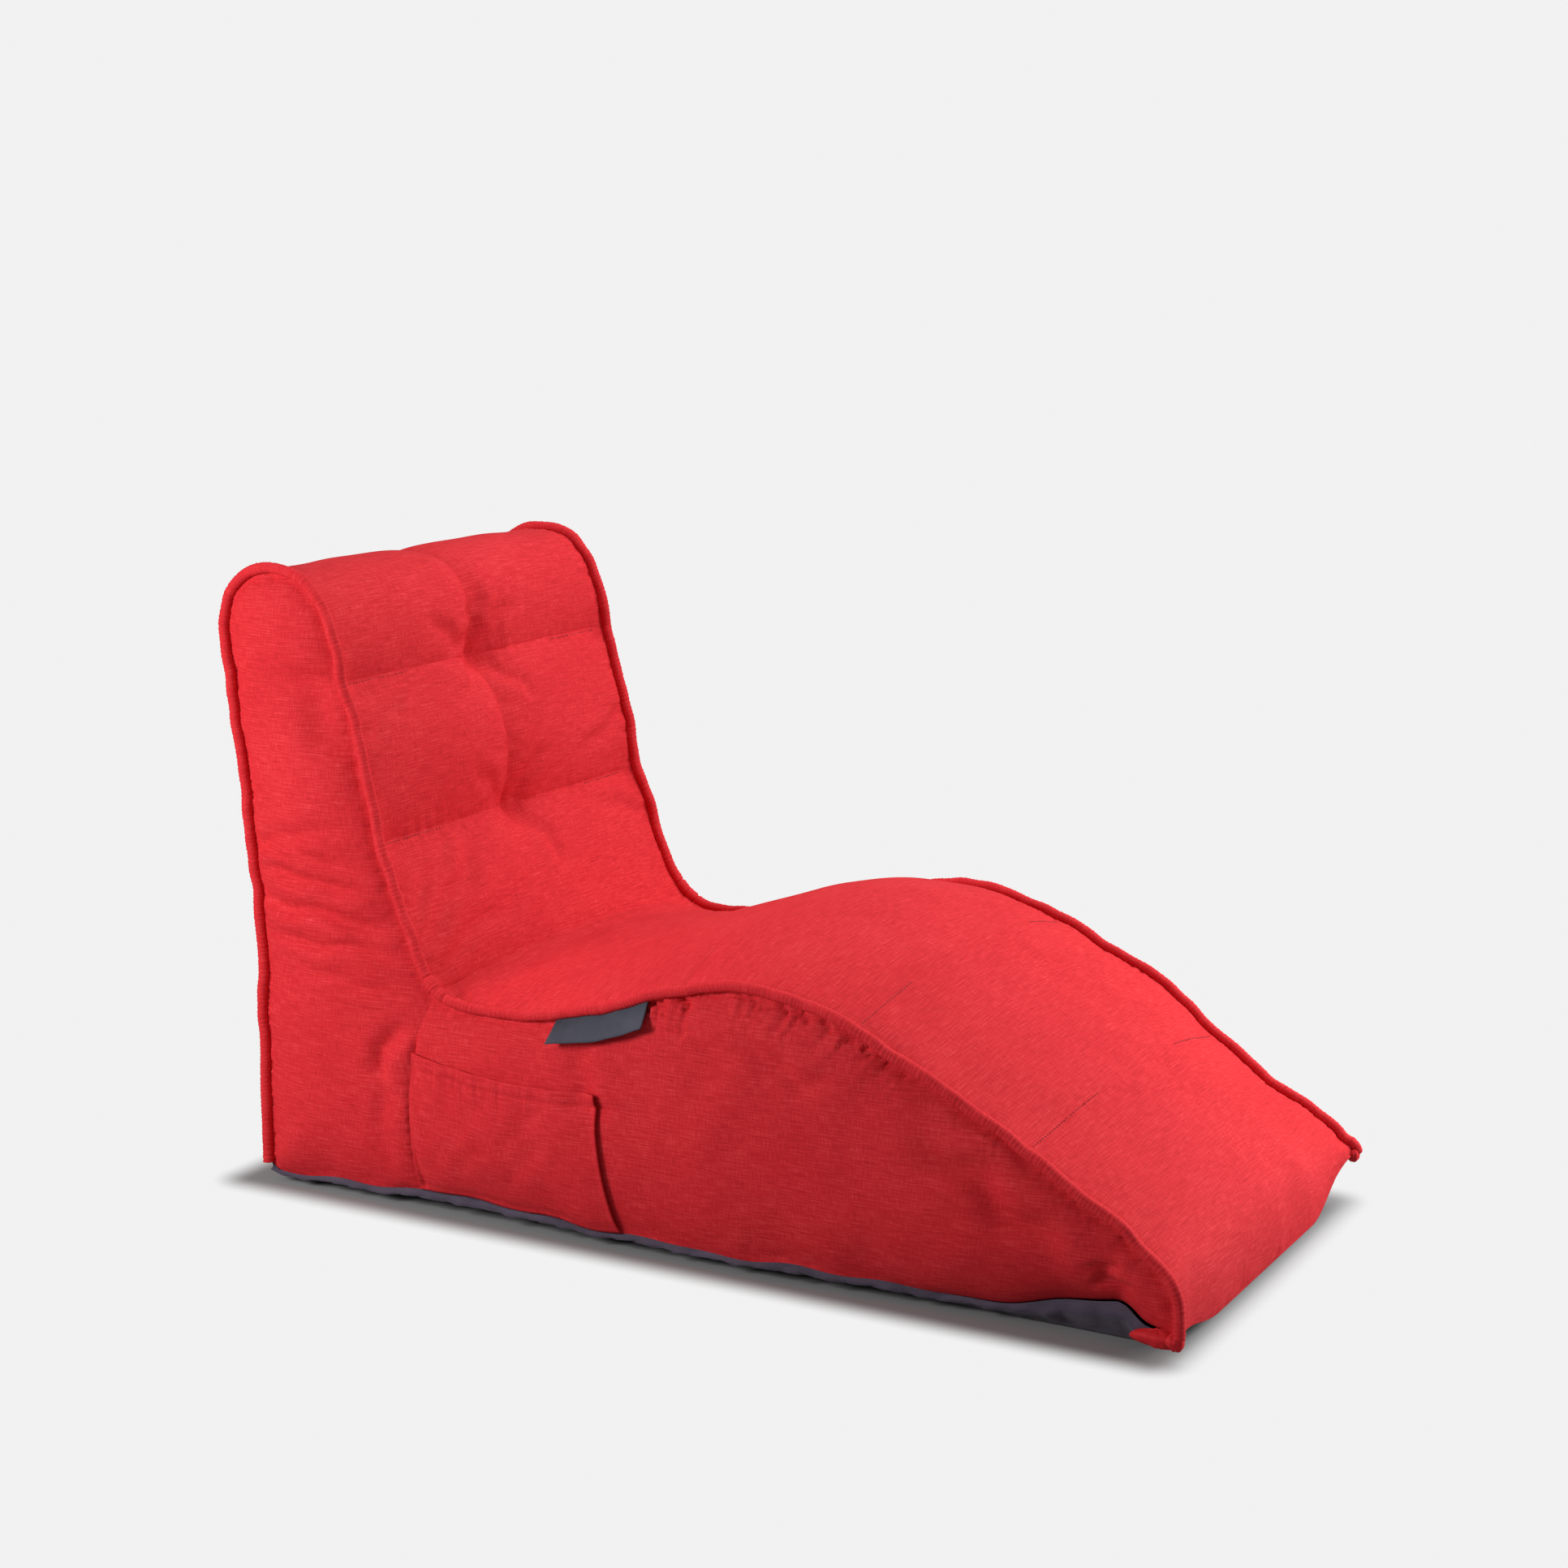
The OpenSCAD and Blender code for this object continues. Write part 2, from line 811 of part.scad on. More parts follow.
// The web that holds the crease between seat and backrest down to the base
module baffle_panel() {
    color(LINER)
        loft(
            [
                for (x = inner_stations(0))
                    let (
                        top = outline(crown_share(x), wadding_bottom + clear)[CREASE],
                        foot = [baffle_y, inner_floor(x)],
                        along = unit(foot - top),
                        side = left_of(along) * baffle_t / 2,
                        head = top + along
                    ) [for (p = [head + side, foot + side, foot - side, head - side]) place(x, p)]
            ],
            2
        );
}

backrest_top_panel();
backrest_middle_panel();
backrest_lower_panel();
seat_panel();
thigh_panel();
calf_panel();
foot_panel();
rear_panel();
rear_lower_strip();
base_panel();
side_back_right();
side_seat_right();
side_back_left();
side_seat_left();
piping_back_right();
piping_seat_right();
piping_back_left();
piping_seat_left();
cord_back_right();
cord_seat_right();
cord_back_left();
cord_seat_left();
pocket_panel();
label_tab();
zip_upper_tape();
zip_lower_tape();
zip_coil();
zip_end_tabs();
zip_slider();
zip_pull();
backrest_wadding();
seat_wadding();
baffle_panel();
backrest_liner();
seat_liner();
backrest_beads();
seat_beads();
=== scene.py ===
"""Bean bag lounger: a filled chair in slubbed red cloth with piped edges, a side pocket and a dark base.

Lengths are in metres, in the CAD frame: X across the seat, the sitter faces -Y, Z up, the floor at z = 0.
The cover is one net of points: a grid over foot end, seat, backrest and rear, and a triangle mesh on each
side. Its seams are held and the rest is inflated as cloth; then it is cut into its sewn panels.
"""

import math

import bpy
import numpy as np
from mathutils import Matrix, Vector, geometry
from mathutils.bvhtree import BVHTree
from mathutils.kdtree import KDTree


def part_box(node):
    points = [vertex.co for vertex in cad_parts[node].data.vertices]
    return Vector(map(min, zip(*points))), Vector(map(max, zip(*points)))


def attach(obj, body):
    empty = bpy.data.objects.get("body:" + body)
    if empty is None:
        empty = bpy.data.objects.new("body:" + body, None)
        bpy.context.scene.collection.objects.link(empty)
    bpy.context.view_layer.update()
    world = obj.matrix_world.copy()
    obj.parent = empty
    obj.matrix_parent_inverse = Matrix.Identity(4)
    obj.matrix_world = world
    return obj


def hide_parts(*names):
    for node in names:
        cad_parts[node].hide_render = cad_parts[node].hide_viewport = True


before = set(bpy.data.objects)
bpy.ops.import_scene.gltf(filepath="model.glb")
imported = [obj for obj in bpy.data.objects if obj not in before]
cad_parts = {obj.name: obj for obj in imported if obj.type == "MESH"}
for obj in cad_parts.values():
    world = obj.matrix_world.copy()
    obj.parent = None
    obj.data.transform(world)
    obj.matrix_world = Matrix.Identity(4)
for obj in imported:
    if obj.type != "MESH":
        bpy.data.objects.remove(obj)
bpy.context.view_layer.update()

# ---- Sizes taken from the CAD frame ----

BASE_LOW, BASE_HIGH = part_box("base_panel")
HALF_W = BASE_HIGH.x
FOOT_Y = BASE_LOW.y
LENGTH = BASE_HIGH.y - BASE_LOW.y
PIPING_R = 0.008
PIPING_OUT = 0.0034
CORNER_DROP = 0.032
PIPING_DEPTH = 0.002
BACK_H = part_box("piping_back_left")[1].z - PIPING_R + PIPING_DEPTH
POCKET_LOW, POCKET_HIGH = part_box("pocket_panel")
LABEL_LOW, LABEL_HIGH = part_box("label_tab")
COIL_LOW, COIL_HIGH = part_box("zip_coil")
ZIP_Z = (COIL_LOW.z + COIL_HIGH.z) / 2
ZIP_SLOT = 0.012
BASE_RISE = 0.032
SEAT_CROWN = 0.066
BACK_CROWN = 0.022
REAR_CROWN = 0.040
HUMP_Y, HUMP_Z = 0.640, 0.417
SEAT_Z = 0.319
NOSE_Z = 0.112
LOW_Y = LENGTH - 0.500
CREASE_Y = LENGTH - 0.298
LOWER_Y, LOWER_Z = LENGTH - 0.220, 0.545
UPPER_Y, UPPER_Z = LENGTH - 0.162, 0.775
THIGH_Y = HUMP_Y + 0.095
THIGH_Z = 0.003 + HUMP_Z + (THIGH_Y - HUMP_Y) * (SEAT_Z - HUMP_Z) / (LOW_Y - HUMP_Y)
PAD_Y, PAD_Z = (LOWER_Y + UPPER_Y) / 2 - 0.003, (LOWER_Z + UPPER_Z) / 2
SIDE_SEAM_Y = LENGTH - 0.287

# The corners of the side outline: distance from the foot seam, height, radius, crown at mid width, and
# whether the corner is rounded
CORNERS = [
    (0, BASE_RISE, 0, 0, False),
    (0, NOSE_Z, 0.045, 0.014, True),
    (0.215, 0.250, 0, 0.034, False),
    (0.465, 0.379, 0.040, SEAT_CROWN - 0.018, True),
    (HUMP_Y, HUMP_Z, 0.230, SEAT_CROWN, True),
    (THIGH_Y, THIGH_Z, 0, SEAT_CROWN - 0.008, False),
    (LOW_Y, SEAT_Z, 0.400, SEAT_CROWN - 0.014, True),
    (CREASE_Y, SEAT_Z, 0.110, 0.030, True),
    (LOWER_Y, LOWER_Z, 0, BACK_CROWN / 2, False),
    (PAD_Y, PAD_Z, 0, BACK_CROWN, False),
    (UPPER_Y, UPPER_Z, 0, BACK_CROWN / 2, False),
    (LENGTH - 0.126, BACK_H, 0.095, 0, True),
    (LENGTH + 0.053, BACK_H, 0.075, 0, True),
    (LENGTH + 0.027, 0.690, 0, REAR_CROWN, False),
    (LENGTH, 0.430, 0, REAR_CROWN * 0.8, False),
    (LENGTH, 0.150, 0, 0, False),
    (LENGTH, ZIP_Z + ZIP_SLOT / 2, 0, 0, False),
    (LENGTH, ZIP_Z - ZIP_SLOT / 2, 0, 0, False),
    (LENGTH, BASE_RISE, 0, 0, False),
]
ROW = 0.0085
COLUMN = 0.011


def unit(v):
    return np.asarray(v) / max(np.linalg.norm(v), 1e-12)


def left_of(v):
    return np.array([-v[1], v[0]])


def units(rows):
    """Each row of an array at length 1."""
    return rows / np.linalg.norm(rows, axis=1, keepdims=True)


def lengths_along(line):
    """The length along a line at each of its points, from 0."""
    return np.concatenate([[0], np.cumsum(np.linalg.norm(np.diff(line, axis=0), axis=1))])


def ring_faces(rings, sides, first=0):
    """The quads of a tube: rings of points, one after the other, from the point numbered first."""
    faces = []
    for ring in range(first, first + (rings - 1) * sides, sides):
        for k in range(sides):
            n = (k + 1) % sides
            faces.append([ring + k, ring + n, ring + sides + n, ring + sides + k])
    return faces


def smoothstep(low, high, x):
    t = np.clip((np.asarray(x, float) - low) / (high - low), 0, 1)
    return t * t * (3 - 2 * t)


def wander(x, seed, period):
    """A smooth curve of values from about -1 to 1 along x, the same on every run."""
    x = np.asarray(x, float) * (2 * math.pi / period)
    turns = np.random.default_rng(seed).uniform(0, 2 * math.pi, 4)
    rates = (1.0, 1.618, 2.414, 0.414)
    return sum(np.sin(x * rate + turn) for rate, turn in zip(rates, turns)) / 2.4


def corner_arcs(crown, counts=None):
    """The outline's corners as arcs of points, at a share of the full crown."""
    spots = [np.array(c[:2], float) for c in CORNERS]
    out = [c[3] * crown for c in CORNERS]
    last = len(CORNERS) - 1
    moved = []
    for i, spot in enumerate(spots):
        if i in (0, last):
            moved.append(spot)
            continue
        before = left_of(unit(spot - spots[i - 1]))
        after = left_of(unit(spots[i + 1] - spot))
        moved.append(spot + out[i] * (before + after) / (1 + before @ after))
    arcs = []
    for i, spot in enumerate(moved):
        if not CORNERS[i][4]:
            arcs.append(spot[None])
            continue
        coming, going = unit(spot - moved[i - 1]), unit(moved[i + 1] - spot)
        turn = math.atan2(coming[0] * going[1] - coming[1] * going[0], coming @ going)
        side = 1 if turn > 0 else -1
        radius = max(0.004, CORNERS[i][2] - side * out[i])
        start = spot - coming * radius * math.tan(abs(turn) / 2)
        centre = start + left_of(coming) * radius * side
        steps = counts[i] if counts else max(6, round(radius * abs(turn) / ROW))
        angles = np.linspace(0, turn, steps + 1)
        spoke = start - centre
        turned = [
            spoke[0] * np.cos(angles) - spoke[1] * np.sin(angles),
            spoke[0] * np.sin(angles) + spoke[1] * np.cos(angles),
        ]
        arcs.append(centre + np.stack(turned, 1))
    return arcs


SEAM_ARCS = corner_arcs(0)
ARC_STEPS = [len(a) - 1 for a in SEAM_ARCS]
RUN_STEPS = [0] + [
    max(1, round(np.linalg.norm(b[0] - a[-1]) / ROW)) for a, b in zip(SEAM_ARCS, SEAM_ARCS[1:])
]


def section(crown):
    """The whole outline at a share of the full crown; it has the same number of points at every share."""
    arcs = corner_arcs(crown, ARC_STEPS)
    points = [arcs[0]]
    for i in range(1, len(arcs)):
        a, b = arcs[i - 1][-1], arcs[i][0]
        steps = RUN_STEPS[i]
        points.append(np.array([a + (b - a) * k / steps for k in range(1, steps)]).reshape(-1, 2))
        points.append(arcs[i])
    return np.concatenate(points)


def first_row(corner):
    return sum(ARC_STEPS[:corner]) + sum(RUN_STEPS[: corner + 1])


CALF, THIGH, LOWER, UPPER = (first_row(c) for c in (2, 5, 8, 10))
KNEE = first_row(3) + ARC_STEPS[3] // 2
CREASE = first_row(7) + ARC_STEPS[7] // 2
FRONT_TOP = first_row(11) + ARC_STEPS[11] // 2
REAR_TOP = first_row(12) + ARC_STEPS[12] * 2 // 3
PLACKET, ZIP_TOP, ZIP_BOTTOM, END = (first_row(c) for c in (15, 16, 17, 18))
# The rows next to a seam lie close to it, so that the seam is a narrow groove
SEAM_ROWS = (CALF, KNEE, THIGH, CREASE, LOWER, UPPER, REAR_TOP)
SEAM_NEAR = 0.4


def column_places():
    count = round(HALF_W / COLUMN)
    right = [HALF_W * k / count for k in range(1, count + 1)]
    right[0] = COLUMN * SEAM_NEAR
    return np.array([-x for x in reversed(right)] + [0] + right)


COLUMNS = column_places()
MIDDLE = len(COLUMNS) // 2


def base_seam_z(x, y):
    """Height of the seam between the red cover and the base; it lifts near the two foot corners."""
    x, y = np.asarray(x, float), np.asarray(y, float)
    from_foot = y - FOOT_Y
    at_side = smoothstep(0.55, 1.0, np.abs(x) / HALF_W)
    front = smoothstep(0.30, 0.0, from_foot)
    bump = 0.009 * np.exp(-(((from_foot - 1.05) / 0.15) ** 2)) - 0.007 * smoothstep(1.25, 1.40, from_foot)
    low = 0.025 - 0.009 * front + bump * at_side
    lift = 0.062 * smoothstep(0.34, 0.04, from_foot) ** 1.8 * at_side
    # the right corner is gathered down again, the left one stays curled up
    lift = np.where(x < 0, lift * (0.40 + 0.45 * smoothstep(0.045, 0.095, from_foot)), lift)
    ripple = 0.004 * wander(y, 3, 0.31) * smoothstep(0.9, 1.0, np.abs(x) / HALF_W)
    return low + lift + ripple


def base_tuck(y):
    """How far the base seam is tucked in under the side, which it is near the foot end."""
    from_foot = np.asarray(y, float) - FOOT_Y
    return 0.030 * smoothstep(0.62, 0.16, from_foot) * smoothstep(0.0, 0.09, from_foot) + 0.004


def drawn_rows(points):
    """Rows next to a seam are drawn towards it."""
    rows = np.arange(len(points), dtype=float)
    for seam in SEAM_ROWS:
        rows[seam - 1] = seam - SEAM_NEAR
        rows[seam + 1] = seam + SEAM_NEAR
    low = np.clip(np.floor(rows).astype(int), 0, len(points) - 2)
    part = (rows - low)[:, None]
    return points[low] * (1 - part) + points[low + 1] * part


def softened(points, first, last, times):
    """Evens out the kinks between two rows."""
    points = points.copy()
    for _ in range(times):
        inner = (points[:-2] + 2 * points[1:-1] + points[2:]) / 4
        points[first:last] = inner[first - 1 : last - 1]
    return points


def build_grid():
    """The grid over foot end, seat, backrest and rear: [row, column, xyz]."""
    grid = np.zeros((END + 1, len(COLUMNS), 3))
    for j, x in enumerate(COLUMNS):
        crown = max(0.0, 1 - (abs(x) / HALF_W) ** 2.2)
        line = drawn_rows(softened(section(crown), 1, PLACKET, 10))
        grid[:, j, 0] = x
        grid[:, j, 1] = line[:, 0] + FOOT_Y
        grid[:, j, 2] = line[:, 1]
    # the bottom of the foot end and of the rear follow the base seam
    seam_z = base_seam_z(grid[:, :, 0], grid[:, :, 1])
    height = np.clip((NOSE_Z - grid[:, :, 2]) / (NOSE_Z - BASE_RISE), 0, 1)
    near_foot = smoothstep(0.20, 0.05, grid[:, :, 1] - FOOT_Y)
    grid[:, :, 2] += near_foot * (seam_z - BASE_RISE) * (0.35 + 0.65 * height)
    # the foot corners are drawn out into points
    corner = smoothstep(0.80, 1.0, np.abs(grid[:, :, 0]) / HALF_W) * near_foot
    grid[:, :, 0] += np.sign(grid[:, :, 0]) * 0.010 * corner * height
    grid[:, :, 1] -= 0.006 * corner * height
    # the left foot corner is drawn down flat to its point
    from_foot = grid[:, :, 1] - FOOT_Y
    left = smoothstep(0.30, 1.0, grid[:, :, 0] / HALF_W) * smoothstep(0.34, 0.08, from_foot)
    above_seam = np.clip((grid[:, :, 2] - seam_z) / 0.05, 0, 1)
    grid[:, :, 2] -= CORNER_DROP * left * above_seam * (np.arange(len(grid)) < KNEE)[:, None]
    return grid


def grid_normals(grid):
    along = np.gradient(grid, axis=0)
    across = np.gradient(grid, axis=1)
    normals = np.cross(across, along)
    return normals / np.maximum(np.linalg.norm(normals, axis=2, keepdims=True), 1e-9)


def row_lengths(grid, column):
    return lengths_along(grid[:, column])


# How deep each cross seam pulls the cover in, and over what distance the cover comes back up
SEAM_DEPTHS = {
    CALF: (0.004, 0.022), KNEE: (0.006, 0.026), THIGH: (0.006, 0.026), CREASE: (0.013, 0.030),
    LOWER: (0.018, 0.034), UPPER: (0.014, 0.032), REAR_TOP: (0.003, 0.015),
}
FADING = (CALF, KNEE, THIGH)
FADE = 0.10
CENTRE_DEPTH = 0.013
TUFTS = {UPPER: 0.022, LOWER: 0.016}


def quilted(grid):
    """Pulls the grid in along its cross seams, the centre seam of the backrest and its two tufts."""
    normals = grid_normals(grid)
    s = row_lengths(grid, MIDDLE)[:, None]
    x = grid[:, :, 0]
    in_from_piping = HALF_W - np.abs(x)
    pull = np.zeros(x.shape)
    for row, (depth, reach) in SEAM_DEPTHS.items():
        across = np.ones(x.shape)
        if row in FADING:
            across = 0.25 + 0.75 * smoothstep(2.6 * FADE, 0.6 * FADE, in_from_piping)
        pull += depth * across * np.exp(-np.abs(s - s[row]) / reach)
    rows = np.arange(len(grid))[:, None]
    centre = smoothstep(CREASE + 8, LOWER, rows) * smoothstep(REAR_TOP + 6, FRONT_TOP, rows)
    pull += CENTRE_DEPTH * centre * np.exp(-np.abs(x) / 0.028)
    for row, depth in TUFTS.items():
        pull += depth * np.exp(-((s - s[row]) ** 2 + x**2) / (2 * 0.030**2))
    pull *= smoothstep(0.0, 0.030, in_from_piping)
    pull[PLACKET:] = 0
    return grid - normals * pull[:, :, None]


def wavy_seam(grid):
    """The piped edges wander a little, and pinch in where a cross seam meets them."""
    grid = grid.copy()
    normals = grid_normals(grid)
    near = np.exp(-(HALF_W - np.abs(grid[:, :, 0])) / 0.05)
    rows = np.arange(len(grid))
    calm = smoothstep(0, 12, rows) * smoothstep(PLACKET, PLACKET - 14, rows)
    for sign in (-1, 1):
        side = (np.sign(grid[:, :, 0]) == sign) * near * calm[:, None]
        s = row_lengths(grid, 0 if sign < 0 else -1)
        out = 0.0026 * wander(s, 11 + sign, 0.42) + 0.0011 * wander(s, 17 + sign, 0.13)
        up = 0.0030 * wander(s, 23 + sign, 0.36) + 0.0010 * wander(s, 29 + sign, 0.11)
        for row in (CALF, KNEE, LOWER, UPPER):
            up -= 0.0035 * np.exp(-((s - s[row]) ** 2) / (2 * 0.02**2))
        grid[:, :, 0] += sign * out[:, None] * side
        grid += normals * (up[:, None] * side)[:, :, None]
    return grid


# ---- Side panels: triangles inside the piped edge ----

SIDE_STEP = 0.0105
SIDE_BULGE = 0.034
SEAM_LINE_Z = 0.245


def split_seam(top, bottom_z):
    """The seam between the two halves of a side: from the crease by the pocket's edge to the base."""
    edge_y = FOOT_Y + SIDE_SEAM_Y
    stops = [
        np.array(top), np.array([edge_y - 0.002, SEAM_LINE_Z + 0.03]), np.array([edge_y, SEAM_LINE_Z]),
        np.array([edge_y + 0.006, 0.14]), np.array([edge_y, bottom_z]),
    ]
    points = []
    for a, b in zip(stops, stops[1:]):
        steps = max(1, round(np.linalg.norm(b - a) / SIDE_STEP))
        points += [a + (b - a) * k / steps for k in range(steps)]
    return np.array(points[1:])


def inside(points, polygon):
    found = np.zeros(len(points), bool)
    for a, b in zip(polygon, np.roll(polygon, -1, axis=0)):
        if a[1] == b[1]:
            continue
        spans = (a[1] > points[:, 1]) != (b[1] > points[:, 1])
        cross = (b[0] - a[0]) * (points[:, 1] - a[1]) / (b[1] - a[1]) + a[0]
        found ^= spans & (points[:, 0] < cross)
    return found


def distance_to(points, line):
    """Distance of each point to a line of points."""
    a, b = line[:-1], line[1:]
    d = b - a
    t = np.einsum("pkc,kc->pk", points[:, None] - a[None], d) / np.maximum((d * d).sum(1), 1e-12)
    nearest = a[None] + d[None] * np.clip(t, 0, 1)[:, :, None]
    return np.linalg.norm(points[:, None] - nearest, axis=2).min(1)


class Net:
    """The points and faces of the whole cover, with what each point is held by."""

    def __init__(self, grid):
        self.rows, self.columns = grid.shape[:2]
        self.points = [tuple(p) for p in grid.reshape(-1, 3)]
        self.held = {}
        self.faces = []
        self.parts = []
        self.uv = []

    def index(self, row, column):
        return row * self.columns + column % self.columns

    def edge(self, sign):
        """The column of the piped edge on the right (-1) or left (1)."""
        return 0 if sign < 0 else self.columns - 1

    def line(self, points, rows, columns):
        """The points at these rows and columns, in order."""
        return np.array([points[self.index(row, column)] for row in rows for column in columns])

    def add(self, point):
        self.points.append(tuple(point))
        return len(self.points) - 1


def add_top(net, grid):
    s = row_lengths(grid, MIDDLE)
    ends = [
        ("foot_cover", 0, CALF), ("calf_cover", CALF, KNEE), ("thigh_cover", KNEE, THIGH),
        ("seat_cover", THIGH, CREASE), ("backrest_lower_cover", CREASE, LOWER),
        ("backrest_middle_cover", LOWER, UPPER), ("backrest_top_cover", UPPER, REAR_TOP),
        ("rear_cover", REAR_TOP, ZIP_TOP), ("rear_strip_cover", ZIP_BOTTOM, END),
    ]
    for name, first, last in ends:
        for i in range(first, last):
            for j in range(net.columns - 1):
                corners = [(i, j), (i, j + 1), (i + 1, j + 1), (i + 1, j)]
                net.faces.append([net.index(*c) for c in corners])
                net.parts.append(name)
                net.uv.append([(COLUMNS[c[1]], s[c[0]]) for c in corners])
    in_from_piping = HALF_W - np.abs(COLUMNS)
    for j in range(net.columns):
        for row in (0, CREASE, LOWER, UPPER, REAR_TOP, *range(PLACKET, END + 1)):
            net.held[net.index(row, j)] = 1.0
        for row in FADING:
            net.held[net.index(row, j)] = float(smoothstep(2 * FADE, 0.8 * FADE, in_from_piping[j]))
    for row in range(net.rows):
        net.held[net.index(row, 0)] = net.held[net.index(row, -1)] = 1.0
    for row in range(LOWER, FRONT_TOP + 1):
        net.held[net.index(row, MIDDLE)] = 1.0


def add_side(net, grid, sign):
    column = net.edge(sign)
    edge = [net.index(row, column) for row in range(net.rows)]
    rim = grid[:, column, 1:]
    seam_bottom = (FOOT_Y + SIDE_SEAM_Y, float(base_seam_z(sign * HALF_W, FOOT_Y + SIDE_SEAM_Y)))
    # the base edge runs back from the rear to the foot end, by way of the split seam
    base = []
    for start, stop in ((rim[-1], seam_bottom), (seam_bottom, rim[0])):
        steps = round(abs(stop[0] - start[0]) / SIDE_STEP)
        for k in range(steps + 1):
            y = start[0] + (stop[0] - start[0]) * k / steps
            base.append((y, float(base_seam_z(sign * HALF_W, y))))
    base = np.array([p for k, p in enumerate(base) if k == 0 or p != base[k - 1]][1:-1])
    seam = split_seam(rim[CREASE], seam_bottom[1])
    outline = np.concatenate([rim, base])
    closed = np.concatenate([outline, outline[:1]])
    y = np.arange(outline[:, 0].min(), outline[:, 0].max(), SIDE_STEP)
    z = np.arange(outline[:, 1].min(), outline[:, 1].max(), SIDE_STEP * 0.87)
    lattice = np.array([(a + (k % 2) * SIDE_STEP / 2, b) for k, b in enumerate(z) for a in y])
    lattice = lattice[inside(lattice, outline)]
    for line in (closed, seam):
        lattice = lattice[distance_to(lattice, line) > 0.6 * SIDE_STEP]
    flat = np.concatenate([outline, seam, lattice])
    first_seam = len(outline)
    around = [(k, (k + 1) % len(outline)) for k in range(len(outline))]
    bottom = next(k for k, p in enumerate(outline) if k >= len(rim) and abs(p[0] - seam_bottom[0]) < 1e-6)
    chain = [CREASE] + list(range(first_seam, first_seam + len(seam))) + [bottom]
    found = geometry.delaunay_2d_cdt(
        [Vector(p) for p in flat], around + list(zip(chain, chain[1:])), [list(range(len(outline)))], 1, 1e-6
    )
    places, triangles, origins = found[0], found[2], found[3]
    depth = distance_to(flat, closed)
    near_seam = distance_to(flat, seam)
    bulge = SIDE_BULGE * (1 - np.exp(-depth / 0.060)) - 0.007 * np.exp(-near_seam / 0.022)
    bulge *= smoothstep(0, 0.012, depth)
    indices = {}
    for k, place in enumerate(places):
        source = origins[k][0] if origins[k] else -1
        if 0 <= source < len(rim):
            indices[k] = edge[source]
            continue
        out = bulge[source] if source >= 0 else 0.0
        above = max(0.0, place.y - float(base_seam_z(sign * HALF_W, place.x)))
        out -= float(base_tuck(place.x)) * math.exp(-above / 0.055)
        indices[k] = net.add((sign * (HALF_W + out), place.x, place.y))
        if source < 0 or source < len(outline) + len(seam):
            net.held[indices[k]] = 1.0
    label = "right" if sign < 0 else "left"
    seam_line = np.array([rim[CREASE], *seam, seam_bottom])
    for triangle in triangles:
        corners = [np.array(places[k]) for k in triangle]
        middle = sum(corners) / 3
        seam_y = np.interp(middle[1], seam_line[::-1, 1], seam_line[::-1, 0])
        half = "back" if middle[0] > seam_y else "seat"
        order = triangle if sign > 0 else triangle[::-1]
        net.faces.append([indices[k] for k in order])
        net.parts.append(f"side_{half}_{label}_cover")
        net.uv.append([(places[k].x, places[k].y) for k in order])


# ---- Cloth ----


def search_tree(points):
    tree = KDTree(len(points))
    for k, point in enumerate(points):
        tree.insert(point, k)
    tree.balance()
    return tree


SWELL_LIMIT = 0.024
CLOTH_FRAMES = 22
HELD_REACH = 0.045
CLOTH = {
    "quality": 5, "mass": 0.25, "tension_stiffness": 18, "compression_stiffness": 18, "shear_stiffness": 8,
    "bending_stiffness": 1.2, "use_pressure": True, "uniform_pressure_force": 3.2,
    "vertex_group_mass": "pins", "vertex_group_shrink": "loose", "shrink_min": 0.0, "shrink_max": -0.045,
}


def inflated(net):
    """The net after it has been inflated as cloth with its seams held."""
    start = np.array(net.points)
    mesh = bpy.data.meshes.new("cloth_net")
    mesh.from_pydata(net.points, [], net.faces)
    mesh.update()
    obj = bpy.data.objects.new("cloth_net", mesh)
    bpy.context.collection.objects.link(obj)
    pins = obj.vertex_groups.new(name="pins")
    for index, weight in net.held.items():
        if weight > 0.02:
            pins.add([index], weight, "REPLACE")
    loose = obj.vertex_groups.new(name="loose")
    tree = search_tree([net.points[i] for i, weight in net.held.items() if weight > 0.9])
    for i, point in enumerate(net.points):
        loose.add([i], math.exp(-tree.find(point)[2] / HELD_REACH), "REPLACE")
    cloth = obj.modifiers.new("Cloth", "CLOTH")
    for key, value in CLOTH.items():
        setattr(cloth.settings, key, value)
    cloth.settings.effector_weights.gravity = 0
    cloth.collision_settings.use_collision = False
    cloth.collision_settings.use_self_collision = False
    cloth.point_cache.frame_start = 1
    cloth.point_cache.frame_end = CLOTH_FRAMES
    scene = bpy.context.scene
    for number in range(1, CLOTH_FRAMES + 1):
        scene.frame_set(number)
    shaped = obj.evaluated_get(bpy.context.evaluated_depsgraph_get())
    end = np.zeros(len(net.points) * 3)
    shaped.data.vertices.foreach_get("co", end)
    end = end.reshape(-1, 3)
    bpy.data.objects.remove(obj)
    scene.frame_set(1)
    move = end - start
    length = np.linalg.norm(move, axis=1, keepdims=True)
    capped = SWELL_LIMIT * np.tanh(length / SWELL_LIMIT)
    return start + move * capped / np.maximum(length, 1e-9)


# ---- Meshes ----


def new_object(name, points, faces, uv=None, smooth=True):
    mesh = bpy.data.meshes.new(name)
    mesh.from_pydata([tuple(p) for p in points], [], [list(f) for f in faces])
    if uv is not None:
        layer = mesh.uv_layers.new(name="cloth")
        layer.data.foreach_set("uv", np.array([c for f in uv for c in f], float).ravel())
    mesh.update()
    mesh.shade_smooth() if smooth else mesh.shade_flat()
    obj = bpy.data.objects.new(name, mesh)
    bpy.context.collection.objects.link(obj)
    return obj


